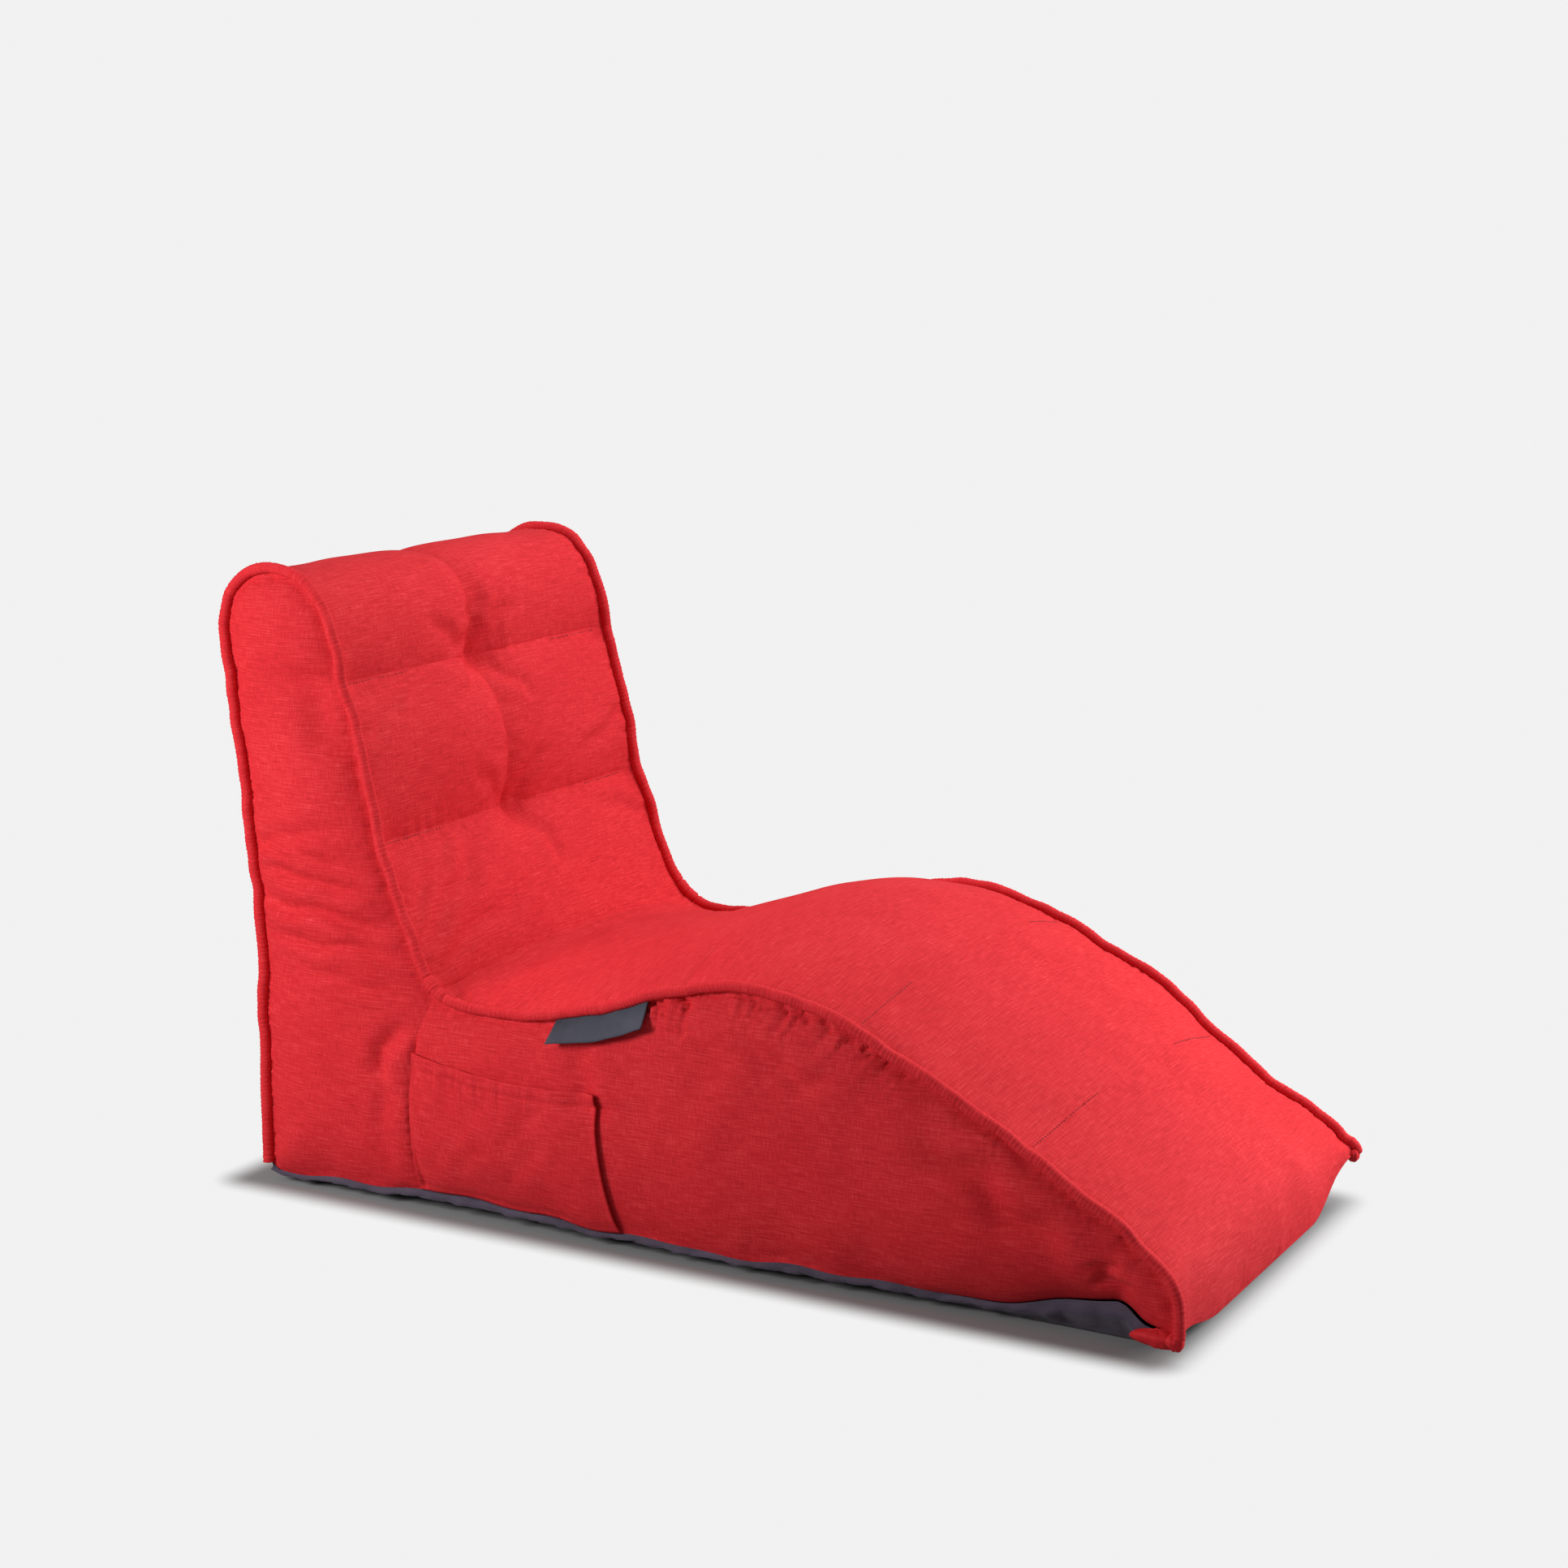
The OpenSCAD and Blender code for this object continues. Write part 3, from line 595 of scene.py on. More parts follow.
def baked(obj, *modifiers):
    """Applies modifiers, each given as (type, settings)."""
    for kind, settings in modifiers:
        modifier = obj.modifiers.new(kind, kind)
        for key, value in settings.items():
            setattr(modifier, key, value)
    shaped = obj.evaluated_get(bpy.context.evaluated_depsgraph_get())
    mesh = bpy.data.meshes.new_from_object(shaped)
    obj.modifiers.clear()
    old = obj.data
    obj.data = mesh
    bpy.data.meshes.remove(old)
    mesh.name = obj.name
    return obj


def coordinates(obj, kind="co"):
    """The places of an object's points, or with kind "normal" the way each point faces."""
    values = np.zeros(len(obj.data.vertices) * 3)
    obj.data.vertices.foreach_get(kind, values)
    return values.reshape(-1, 3)


def lifted(obj, lift):
    """Moves each point along its normal."""
    co = coordinates(obj) + coordinates(obj, "normal") * lift[:, None]
    put_coordinates(obj, co)


def put_coordinates(obj, co):
    obj.data.vertices.foreach_set("co", co.ravel())
    obj.data.update()


def panel(net, points, name):
    """One sewn panel of the net as its own object, one step finer."""
    faces = [f for f, part in zip(net.faces, net.parts) if part == name]
    uv = [c for c, part in zip(net.uv, net.parts) if part == name]
    used = sorted({i for f in faces for i in f})
    number = {i: k for k, i in enumerate(used)}
    obj = new_object(name, points[used], [[number[i] for i in f] for f in faces], uv)
    return baked(obj, ("SUBSURF", {"levels": 1, "render_levels": 1}))


# ---- Puckers and folds ----


class Seam:
    """A sewn line that puckers the cloth beside it: its points, and the length along it."""

    def __init__(self, points, height, reach, period, seed, groove=0.0):
        self.points = np.asarray(points)
        self.s = lengths_along(self.points)
        self.height, self.reach, self.period, self.seed = height, reach, period, seed
        self.groove = groove
        self.tree = search_tree(self.points)

    def nearest(self, point):
        """(length along the seam, distance from it) of a point."""
        _, k, _ = self.tree.find(point)
        best = None
        for a in (max(k - 1, 0), min(k, len(self.points) - 2)):
            p, q = self.points[a], self.points[a + 1]
            d = q - p
            t = min(max(float((point - p) @ d) / max(float(d @ d), 1e-12), 0), 1)
            far = float(np.linalg.norm(p + d * t - point))
            if best is None or far < best[1]:
                best = (self.s[a] + t * (self.s[a + 1] - self.s[a]), far)
        return best


GROOVE_WIDTH = 0.013


def puckers(obj, seams):
    """Short folds that run out at right angles from each seam."""
    co = coordinates(obj)
    lift = np.zeros(len(co))
    for seam in seams:
        reach = seam.reach * 3
        low, high = seam.points.min(0) - reach, seam.points.max(0) + reach
        close = np.where(((co > low) & (co < high)).all(1))[0]
        if not len(close):
            continue
        s, d = np.array([seam.nearest(co[i]) for i in close]).T
        strength = 0.35 + 0.65 * np.clip(0.5 + 0.9 * wander(s, seam.seed + 5, 0.37), 0, 1)
        length = seam.reach * (0.6 + 0.8 * np.clip(0.5 + wander(s, seam.seed + 9, 0.071), 0, 1))
        bend = 0.25 * seam.period * wander(d, seam.seed + 2, 0.05)
        wave = wander(s + bend, seam.seed, seam.period * 1.5)
        ridge = 1 - np.abs(np.clip(wave, -1, 1)) * 1.6
        lift[close] += seam.height * strength * ridge * np.exp(-d / length) * smoothstep(0, 0.007, d)
        lift[close] -= seam.groove * np.exp(-((d / GROOVE_WIDTH) ** 2)) * smoothstep(0, 0.008, d)
    lifted(obj, lift)


FOLD_DEPTH = 1.6


def folds(obj, lines, across_axis=1):
    """Soft folds, each a line from one (across, z) to another with a depth (+ is a hollow) and a width."""
    co = coordinates(obj)
    lift = np.zeros(len(co))
    place = co[:, [across_axis, 2]]
    for start, stop, depth, width in lines:
        a, d = np.array(start), np.array(stop) - np.array(start)
        t = ((place - a) @ d) / (d @ d)
        sway = width * 0.8 * wander(t, int(abs(1000 * start[0] + 77 * start[1])) % 97, 1.3)
        across = (place[:, 0] - a[0]) * d[1] - (place[:, 1] - a[1]) * d[0]
        across = across / np.linalg.norm(d) + sway
        along = smoothstep(-0.25, 0.25, t) * smoothstep(1.25, 0.75, t)
        profile = np.exp(-(across**2) / (2 * width**2))
        rim = np.exp(-((across - 2.3 * width) ** 2) / (2 * (1.2 * width) ** 2))
        lift += FOLD_DEPTH * along * depth * (0.45 * rim - profile)
    lifted(obj, lift)


def crumple(obj, height, scale, seed):
    """Low, broad unevenness, as of bead filling under cloth."""
    co = coordinates(obj)
    x, y, z = co.T
    broad = wander(x + 0.31 * z, seed, scale) * wander(y - 0.21 * x, seed + 1, scale * 1.3)
    narrow = wander(z + 0.4 * y, seed + 2, scale * 0.9) * wander(y, seed + 3, scale * 0.7)
    uneven = broad + 0.6 * narrow
    lifted(obj, height * uneven)


# ---- Materials ----


def srgb(*shades):
    parts = (shade / 255 for shade in shades)
    return (*(c / 12.92 if c <= 0.04045 else ((c + 0.055) / 1.055) ** 2.4 for c in parts), 1.0)


class Nodes:
    """A material's node tree, with short calls to add and join nodes."""

    def __init__(self, name):
        self.material = bpy.data.materials.new(name)
        self.material.use_nodes = True
        self.tree = self.material.node_tree
        self.shader = self.tree.nodes["Principled BSDF"]

    def add(self, kind, inputs=(), **settings):
        node = self.tree.nodes.new(kind)
        for key, value in settings.items():
            setattr(node, key, value)
        for key, value in dict(inputs).items():
            if isinstance(value, bpy.types.NodeSocket):
                self.tree.links.new(value, node.inputs[key])
            else:
                node.inputs[key].default_value = value
        return node

    def noise(self, vector, scale, detail=3.0, roughness=0.5):
        return self.add(
            "ShaderNodeTexNoise",
            {"Vector": vector, "Scale": scale, "Detail": detail, "Roughness": roughness},
        ).outputs["Fac"]

    def stretched(self, vector, scale):
        return self.add("ShaderNodeMapping", {"Vector": vector, "Scale": scale}).outputs["Vector"]

    def math(self, operation, a, b=0.0, c=0.0):
        return self.add("ShaderNodeMath", {0: a, 1: b, 2: c}, operation=operation).outputs[0]

    def varied(self, base, value, amount):
        """The base, moved by how far the value is from its middle."""
        return self.math("MULTIPLY_ADD", self.math("SUBTRACT", value, 0.5), amount, base)

    def threads(self, vector, scale, distortion, axis, detail=2.0):
        settings = {"Vector": vector, "Scale": scale, "Distortion": distortion, "Detail": detail}
        return self.add("ShaderNodeTexWave", settings, bands_direction=axis).outputs["Fac"]

    def look(self, **values):
        """Sets the shader's values; an underscore in a name stands for a space."""
        for key, value in values.items():
            self.shader.inputs[key.replace("_", " ")].default_value = value

    def ramp(self, value, stops):
        node = self.add("ShaderNodeValToRGB", {"Fac": value})
        elements = node.color_ramp.elements
        while len(elements) < len(stops):
            elements.new(0.5)
        for element, (place, colour) in zip(elements, stops):
            element.position, element.color = place, colour
        return node.outputs["Color"]

    def finish(self, colour, height, strength, distance):
        bump = self.add("ShaderNodeBump", {"Height": height, "Strength": strength, "Distance": distance})
        self.tree.links.new(colour, self.shader.inputs["Base Color"])
        self.tree.links.new(bump.outputs["Normal"], self.shader.inputs["Normal"])
        return self.material


def slub_cloth(name, dark, middle, light, contrast=1.0):
    """Woven cloth with uneven threads: its streaks run along the first cloth coordinate."""
    nodes = Nodes(name)
    cloth = nodes.add("ShaderNodeUVMap", uv_map="cloth").outputs["UV"]
    thread = nodes.noise(nodes.stretched(cloth, (46, 1150, 1)), 1.0, 2.0, 0.6)
    slub = nodes.noise(nodes.stretched(cloth, (20, 560, 1)), 1.0, 3.0, 0.6)
    warp = nodes.noise(nodes.stretched(cloth, (620, 60, 1)), 1.0, 1.0, 0.5)
    patch = nodes.noise(nodes.stretched(cloth, (5, 7, 1)), 1.0, 3.0, 0.55)
    streaks = nodes.math("ADD", nodes.math("MULTIPLY", thread, 0.5), nodes.math("MULTIPLY", slub, 0.5))
    tone = nodes.varied(0.5, streaks, contrast)
    tone = nodes.varied(tone, warp, 0.30 * contrast)
    tone = nodes.varied(tone, patch, 0.16)
    colour = nodes.ramp(tone, [(0.18, dark), (0.5, middle), (0.85, light)])
    weft = nodes.threads(cloth, 210.0, 1.2, "Y", 1.0)
    warps = nodes.threads(cloth, 260.0, 0.8, "X", 1.0)
    weave = nodes.math("MULTIPLY", nodes.math("ADD", weft, nodes.math("MULTIPLY", warps, 0.6)), 0.45)
    height = nodes.math("ADD", weave, nodes.math("MULTIPLY", streaks, 0.9))
    nodes.look(Sheen_Weight=0.06, Sheen_Roughness=0.45, Sheen_Tint=light)
    nodes.look(Roughness=0.82, Specular_IOR_Level=0.22)
    return nodes.finish(colour, height, 0.5, 0.0005)


def plain_weave(name, dark, light, roughness, sheen, scale=300.0):
    """Tightly woven cloth of one colour."""
    nodes = Nodes(name)
    place = nodes.add("ShaderNodeTexCoord").outputs["Object"]
    mottle = nodes.noise(place, 14.0, 4.0, 0.6)
    grain = nodes.noise(place, scale * 3, 2.0, 0.6)
    tone = nodes.varied(mottle, grain, 0.7)
    colour = nodes.ramp(tone, [(0.25, dark), (0.75, light)])
    waves = [nodes.threads(place, scale, 0.6, axis) for axis in "XYZ"]
    height = nodes.math("ADD", nodes.math("ADD", waves[0], waves[1]), waves[2])
    nodes.look(Roughness=roughness, Sheen_Weight=sheen, Specular_IOR_Level=0.3)
    return nodes.finish(colour, height, 0.4, 0.0004)


def worn_metal(name):
    nodes = Nodes(name)
    place = nodes.add("ShaderNodeTexCoord").outputs["Object"]
    brush = nodes.noise(nodes.stretched(place, (300, 2500, 2500)), 1.0, 3.0, 0.6)
    wear = nodes.noise(place, 220.0, 4.0, 0.6)
    colour = nodes.ramp(wear, [(0.3, srgb(120, 122, 126)), (0.7, srgb(186, 188, 192))])
    nodes.look(Metallic=1.0)
    rough = nodes.math("MULTIPLY_ADD", brush, 0.25, 0.22)
    nodes.tree.links.new(rough, nodes.shader.inputs["Roughness"])
    return nodes.finish(colour, brush, 0.2, 0.0002)


def bead_fill(name):
    """Small foam beads, each painted greyer from its middle out to its rim as painted shade in the gaps
    between them.
    """
    nodes = Nodes(name)
    place = nodes.add("ShaderNodeTexCoord").outputs["Object"]
    cells = nodes.add("ShaderNodeTexVoronoi", {"Vector": place, "Scale": 240.0})
    # painted shade: white at each bead's middle, greyer towards its rim and the gaps between beads
    colour = nodes.ramp(cells.outputs["Distance"], [(0.0, srgb(250, 250, 246)), (0.8, srgb(205, 205, 200))])
    height = nodes.math("SUBTRACT", 1.0, cells.outputs["Distance"])
    nodes.look(Roughness=0.6)
    return nodes.finish(colour, height, 0.9, 0.002)


RED = slub_cloth("red_slub_cloth", srgb(158, 17, 27), srgb(211, 34, 43), srgb(240, 80, 84))
RED_PIPING = slub_cloth("red_piping_cloth", srgb(162, 19, 29), srgb(212, 35, 44), srgb(238, 76, 80), 0.8)
THREAD = plain_weave("red_thread", srgb(120, 12, 20), srgb(168, 22, 32), 0.7, 0.2, 900.0)
DARK = plain_weave("dark_base_cloth", srgb(58, 48, 64), srgb(86, 74, 94), 0.62, 0.15)
SLATE = plain_weave("slate_label", srgb(46, 50, 62), srgb(70, 74, 88), 0.5, 0.1, 500.0)
TAPE = plain_weave("zip_tape_cloth", srgb(34, 30, 38), srgb(58, 52, 62), 0.7, 0.1, 500.0)
COIL = plain_weave("zip_coil_nylon", srgb(30, 27, 33), srgb(62, 56, 66), 0.35, 0.0, 700.0)
METAL = worn_metal("zip_metal")
LINER = plain_weave("liner_cloth", srgb(206, 211, 214), srgb(228, 232, 234), 0.75, 0.1)
BEADS = bead_fill("foam_beads")
WADDING = plain_weave("wadding_fleece", srgb(226, 224, 218), srgb(244, 243, 238), 0.9, 0.3, 200.0)


def dressed(obj, material, slot, *nodes):
    """Gives a finished piece its material and body, and hides the CAD nodes that it stands for; the slot is
    not used.
    """
    obj.data.materials.clear()
    obj.data.materials.append(material)
    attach(obj, "chair")
    if nodes:
        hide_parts(*nodes)
    return obj


# ---- The cover ----


NEXT_TO_BORDER = 0.55


def keep_sewn(obj, before):
    """Puts a panel's border back where it was, so that it still meets the panels sewn to it."""
    mesh = obj.data
    edges = np.zeros(len(mesh.edges) * 2, int)
    mesh.edges.foreach_get("vertices", edges)
    edges = edges.reshape(-1, 2)
    sides = np.zeros(len(mesh.loops), int)
    mesh.loops.foreach_get("edge_index", sides)
    border = np.zeros(len(mesh.vertices), bool)
    border[edges[np.bincount(sides, minlength=len(edges)) == 1]] = True
    near = np.zeros(len(mesh.vertices), bool)
    near[edges[border[edges].any(1)]] = True
    share = np.where(border, 0.0, np.where(near, NEXT_TO_BORDER, 1.0))
    put_coordinates(obj, before + (coordinates(obj) - before) * share[:, None])


def cover_seams(net, points):
    """The sewn lines that pucker the cloth beside them."""
    across = range(net.columns)
    seams = []
    for sign, seed in ((-1, 40), (1, 60)):
        line = net.line(points, range(4, PLACKET), [net.edge(sign)])
        seams.append(Seam(line, 0.0030, 0.026, 0.021, seed, 0.003))
    for row, seed, height in (
        (CREASE, 80, 0.0024), (LOWER, 84, 0.0042), (UPPER, 88, 0.0028),
        (CALF, 92, 0.0016), (KNEE, 96, 0.0016), (THIGH, 99, 0.0014),
    ):
        seams.append(Seam(net.line(points, [row], across), height, 0.016, 0.024, seed))
    middle = net.line(points, range(LOWER, FRONT_TOP + 4), [MIDDLE])
    seams.append(Seam(middle, 0.0026, 0.018, 0.026, 71))
    seams.append(Seam(net.line(points, [0], across), 0.0030, 0.026, 0.026, 33))
    return seams


def side_seams(net, points, sign):
    """The piped edge puckers a side panel, and more over the hump."""
    edge = net.line(points, range(4, END), [net.edge(sign)])
    hump = net.line(points, range(CALF + 20, THIGH + 6), [net.edge(sign)])
    return [
        Seam(edge, 0.0026, 0.022, 0.021, 120 + sign, 0.005),
        Seam(hump, 0.0135, 0.021, 0.031, 130 + sign, 0.005),
    ]


# Soft folds of a side panel, as ((y, z) from the foot seam and the floor, (y, z), depth, width)
SIDE_FOLDS = [
    ((1.395, 0.800), (1.255, 0.640), 0.0085, 0.026),
    ((1.300, 0.560), (1.460, 0.520), 0.004, 0.009),
    ((1.270, 0.505), (1.450, 0.535), 0.004, 0.007),
    ((1.250, 0.470), (1.420, 0.490), 0.005, 0.008),
    ((1.225, 0.425), (1.440, 0.440), 0.005, 0.008),
    ((1.210, 0.385), (1.400, 0.392), 0.004, 0.007),
    ((1.200, 0.330), (1.330, 0.350), 0.003, 0.007),
    ((0.330, 0.235), (0.170, 0.120), 0.009, 0.016),
    ((0.100, 0.120), (0.075, 0.075), 0.006, 0.012),
    ((0.890, 0.285), (0.850, 0.205), 0.005, 0.016),
    ((1.190, 0.285), (1.235, 0.215), 0.005, 0.011),
    ((1.205, 0.260), (1.215, 0.090), 0.005, 0.014),
    ((0.620, 0.330), (0.500, 0.300), 0.004, 0.012),
]


def side_folds(sign):
    moved = []
    for k, (a, b, depth, width) in enumerate(SIDE_FOLDS):
        shift = 0.0 if sign < 0 else 0.02 * math.sin(2.3 * k + 1)
        moved.append(((a[0] + FOOT_Y, a[1] + shift), (b[0] + FOOT_Y, b[1] - shift), depth, width))
    return moved


# Folds of the backrest's front, as ((x, z), (x, z), depth, width), out from the tufts and the piping
BACK_FOLDS = [
    ((0.004, UPPER_Z + 0.020), (0.020, 0.870), 0.0036, 0.010),
    ((-0.010, UPPER_Z + 0.005), (-0.110, 0.835), 0.0035, 0.010),
    ((0.010, UPPER_Z), (0.095, 0.840), 0.0030, 0.010),
    ((-0.008, UPPER_Z - 0.005), (-0.090, 0.710), 0.0032, 0.010),
    ((0.010, UPPER_Z - 0.008), (0.085, 0.700), 0.0030, 0.009),
    ((0.010, LOWER_Z + 0.005), (0.080, 0.610), 0.0028, 0.009),
    ((-0.010, LOWER_Z), (-0.100, 0.610), 0.0028, 0.010),
    ((0.000, LOWER_Z - 0.008), (0.060, 0.450), 0.0034, 0.012),
    ((-0.340, 0.395), (-0.150, 0.500), 0.0040, 0.012),
    ((-0.340, 0.435), (-0.190, 0.520), 0.0030, 0.009),
    ((-0.335, 0.365), (-0.060, 0.430), 0.0030, 0.011),
    ((-0.335, 0.690), (-0.230, 0.740), 0.0026, 0.008),
    ((-0.330, 0.735), (-0.200, UPPER_Z - 0.015), 0.0015, 0.008),
    ((0.335, 0.640), (0.200, 0.590), 0.0026, 0.009),
    ((0.335, 0.470), (0.180, 0.520), 0.0030, 0.010),
]
COVER_NODES = {
    f"{part}_cover": f"{part}_panel"
    for part in (
        "foot", "calf", "thigh", "seat", "backrest_lower", "backrest_middle", "backrest_top", "rear",
    )
}
COVER_NODES["rear_strip_cover"] = "rear_lower_strip"
for part in ("side_back_right", "side_seat_right", "side_back_left", "side_seat_left"):
    COVER_NODES[f"{part}_cover"] = part


def build_cover(net, points):
    shown = {}
    top_seams = cover_seams(net, points)
    for name, node in COVER_NODES.items():
        obj = panel(net, points, name)
        sewn = coordinates(obj)
        if name.startswith("side_"):
            sign = -1 if "_right" in name else 1
            crumple(obj, 0.0030, 0.33, 7 + sign)
            folds(obj, side_folds(sign))
            puckers(obj, side_seams(net, points, sign))
        elif name != "rear_strip_cover":
            crumple(obj, 0.0018, 0.30, 3)
            if name.startswith("backrest"):
                folds(obj, BACK_FOLDS, 0)
            puckers(obj, top_seams)
        keep_sewn(obj, sewn)
        box = [max(c) - min(c) for c in zip(*coordinates(obj))]
        dressed(obj, RED, "cover_fabric", node)
        shown[name] = obj
    return shown


# ---- Piping ----

RING_STEP = 0.0016
RING_SIDES = 12
RIB = 0.0058


def resampled(line, step):
    s = lengths_along(line)
    places = np.linspace(0, s[-1], max(2, round(s[-1] / step)))
    return np.stack([np.interp(places, s, line[:, k]) for k in range(3)], 1), places


def build_piping(net, points, sign, first, last, name, nodes, seed):
    """A ribbed fabric tube along one length of the piped edge, with a wrapped end at the crease."""
    line = net.line(points, range(first, last + 1), [net.edge(sign)])
    tangents = np.gradient(line, axis=0)
    outward = units(np.stack([np.zeros(len(line)), -tangents[:, 2], tangents[:, 1]], 1))
    path, s = resampled(line + outward * PIPING_OUT + np.array([sign * PIPING_OUT, 0, 0]), RING_STEP)
    for _ in range(6):
        path[1:-1] = (path[:-2] + 2 * path[1:-1] + path[2:]) / 4
    along = units(np.gradient(path, axis=0))
    across = np.tile(np.array([1.0, 0, 0]), (len(path), 1))
    side = units(across - along * (across * along).sum(1, keepdims=True))
    up = np.cross(side, along)
    angles = np.arange(RING_SIDES) * 2 * math.pi / RING_SIDES
    phase = 2 * math.pi * s / RIB + 1.8 * wander(s, seed, 0.05)
    crease_s = s if first == CREASE else s[-1] - s
    sleeve = 0.0011 * smoothstep(0.020, 0.016, crease_s) - 0.0016 * np.exp(-((crease_s - 0.021) ** 2) / 2e-6)
    radius = PIPING_R * (1 + 0.045 * np.sin(phase) + 0.030 * wander(s, seed + 1, 0.09)) + sleeve
    rings = []
    for k, angle in enumerate(angles):
        uneven = 1 + 0.018 * np.sin(phase * 0.5 + 2.1 * k)
        reach = (radius * uneven)[:, None]
        rings.append(path + (side * math.cos(angle) + up * math.sin(angle)) * reach)
    co = np.stack(rings, 1).reshape(-1, 3)
    faces = ring_faces(len(path), RING_SIDES)
    turn = 2 * math.pi * PIPING_R / RING_SIDES
    uv = [
        [(k * turn, a), ((k + 1) * turn, a), ((k + 1) * turn, b), (k * turn, b)]
        for a, b in zip(s, s[1:])
        for k in range(RING_SIDES)
    ]
    for i, order in ((0, -1), (len(path) - 1, 1)):
        ring = [i * RING_SIDES + k for k in range(RING_SIDES)][::order]
        faces.append(ring)
        uv.append([(0.01 * math.cos(a), 0.01 * math.sin(a)) for a in angles[: len(ring)]])
    obj = new_object(name, co, faces, uv)
    return dressed(obj, RED_PIPING, "cover_fabric", *nodes)


# ---- Base ----

BASE_INSET = 0.050
BASE_STEPS = 7


def base_loop(net, points):
    """The base seam all round, starting at the right foot corner and running along the right side."""
    loop = []
    count = round(LENGTH / SIDE_STEP)
    ends = {sign: (points[net.index(0, c)], points[net.index(END, c)]) for sign, c in ((-1, 0), (1, -1))}
    for sign, step in ((-1, 1), (1, -1)):
        foot, rear = ends[sign]
        for k in range(1, count)[::step]:
            y = foot[1] + (rear[1] - foot[1]) * k / count
            x = foot[0] + (sign * HALF_W - foot[0]) * min(1, k * 4 / count) - sign * float(base_tuck(y))
            loop.append((x, y, float(base_seam_z(sign * HALF_W, y))))
        row = END if sign < 0 else 0
        for j in range(net.columns)[::step]:
            loop.append(tuple(points[net.index(row, j)]))
    return np.array(loop)


def build_base(net, points):
    """The dark base: it turns in under the red cover, ripples, and lies flat on the floor."""
    loop = base_loop(net, points)
    size = np.array([HALF_W, LENGTH / 2])
    centre = np.array([0, FOOT_Y + LENGTH / 2])
    s = lengths_along(loop)
    tangent = np.roll(loop, -1, axis=0) - np.roll(loop, 1, axis=0)
    inward = np.stack([tangent[:, 1], -tangent[:, 0]], 1)
    inward *= np.sign((inward * (centre - loop[:, :2])).sum(1, keepdims=True))
    inward = units(inward)
    rings = []
    for k in range(BASE_STEPS + 1):
        t = k / BASE_STEPS
        goal = np.clip(loop[:, :2] - centre, -(size - BASE_INSET), size - BASE_INSET) + centre
        # a short upright strip, then a turn inwards that leaves a low dark gap over the floor
        turn_in = smoothstep(0.35, 1.0, t)
        at_front = smoothstep(0.05, 0.0, loop[:, 1] - FOOT_Y)[:, None]
        shift = (goal - loop[:, :2]) * np.maximum(turn_in, at_front * min(1.0, 2.2 * t))
        ripple = 0.0040 * wander(s, 200 + k // 3, 0.075) * math.sin(math.pi * t)
        place = loop[:, :2] + shift + inward * (ripple - 0.003 * math.sin(math.pi * t))[:, None]
        z = loop[:, 2] * (1 - t) ** 0.9
        rings.append(np.column_stack([place, z]))
    count = len(loop)
    faces = ring_faces(BASE_STEPS + 1, count)
    faces.append([BASE_STEPS * count + i for i in range(count)])
    obj = new_object("base_cover", np.concatenate(rings), faces)
    obj.data.validate()
    dressed(obj, DARK, "base_fabric", "base_panel")


# ---- Pocket, label and stitches ----


def thick_sheet(name, front, thickness):
    """A sheet with two faces and an edge from a grid of points [row, column, xyz] and the way it faces."""
    rows, columns = front.shape[:2]
    normals = grid_normals(front)
    back = front - normals * thickness
    co = np.concatenate([front.reshape(-1, 3), back.reshape(-1, 3)])
    shift = rows * columns
    faces = []
    along, down = lengths_along(front[rows // 2]), lengths_along(front[:, columns // 2])
    for i in range(rows - 1):
        for j in range(columns - 1):
            k = i * columns + j
            corners = [k, k + 1, k + columns + 1, k + columns]
            faces += [corners, [c + shift for c in corners[::-1]]]
    rim = list(range(columns))
    rim += [i * columns + columns - 1 for i in range(1, rows)]
    rim += [(rows - 1) * columns + j for j in range(columns - 2, -1, -1)]
    rim += [i * columns for i in range(rows - 2, 0, -1)]
    for a, b in zip(rim, rim[1:] + rim[:1]):
        faces.append([b, a, a + shift, b + shift])
    uv = [[(along[n % shift % columns], down[n % shift // columns]) for n in face] for face in faces]
    return new_object(name, co, faces, uv)


def surface_of(*objects):
    """One search tree over several objects' faces."""
    co, faces, shift = [], [], 0
    for obj in objects:
        co += [v.co.copy() for v in obj.data.vertices]
        faces += [[i + shift for i in p.vertices] for p in obj.data.polygons]
        shift = len(co)
    return BVHTree.FromPolygons(co, faces)


def side_x(surface, y, z, sign=-1):
    """How far out the side's surface is at (y, z)."""
    hit = surface.ray_cast(Vector((sign * 0.6, y, z)), Vector((-sign, 0, 0)))[0]
    return hit.x if hit else sign * HALF_W


POCKET_STEP = 0.004
HEM = 0.021
POCKET_THICK = 0.0022


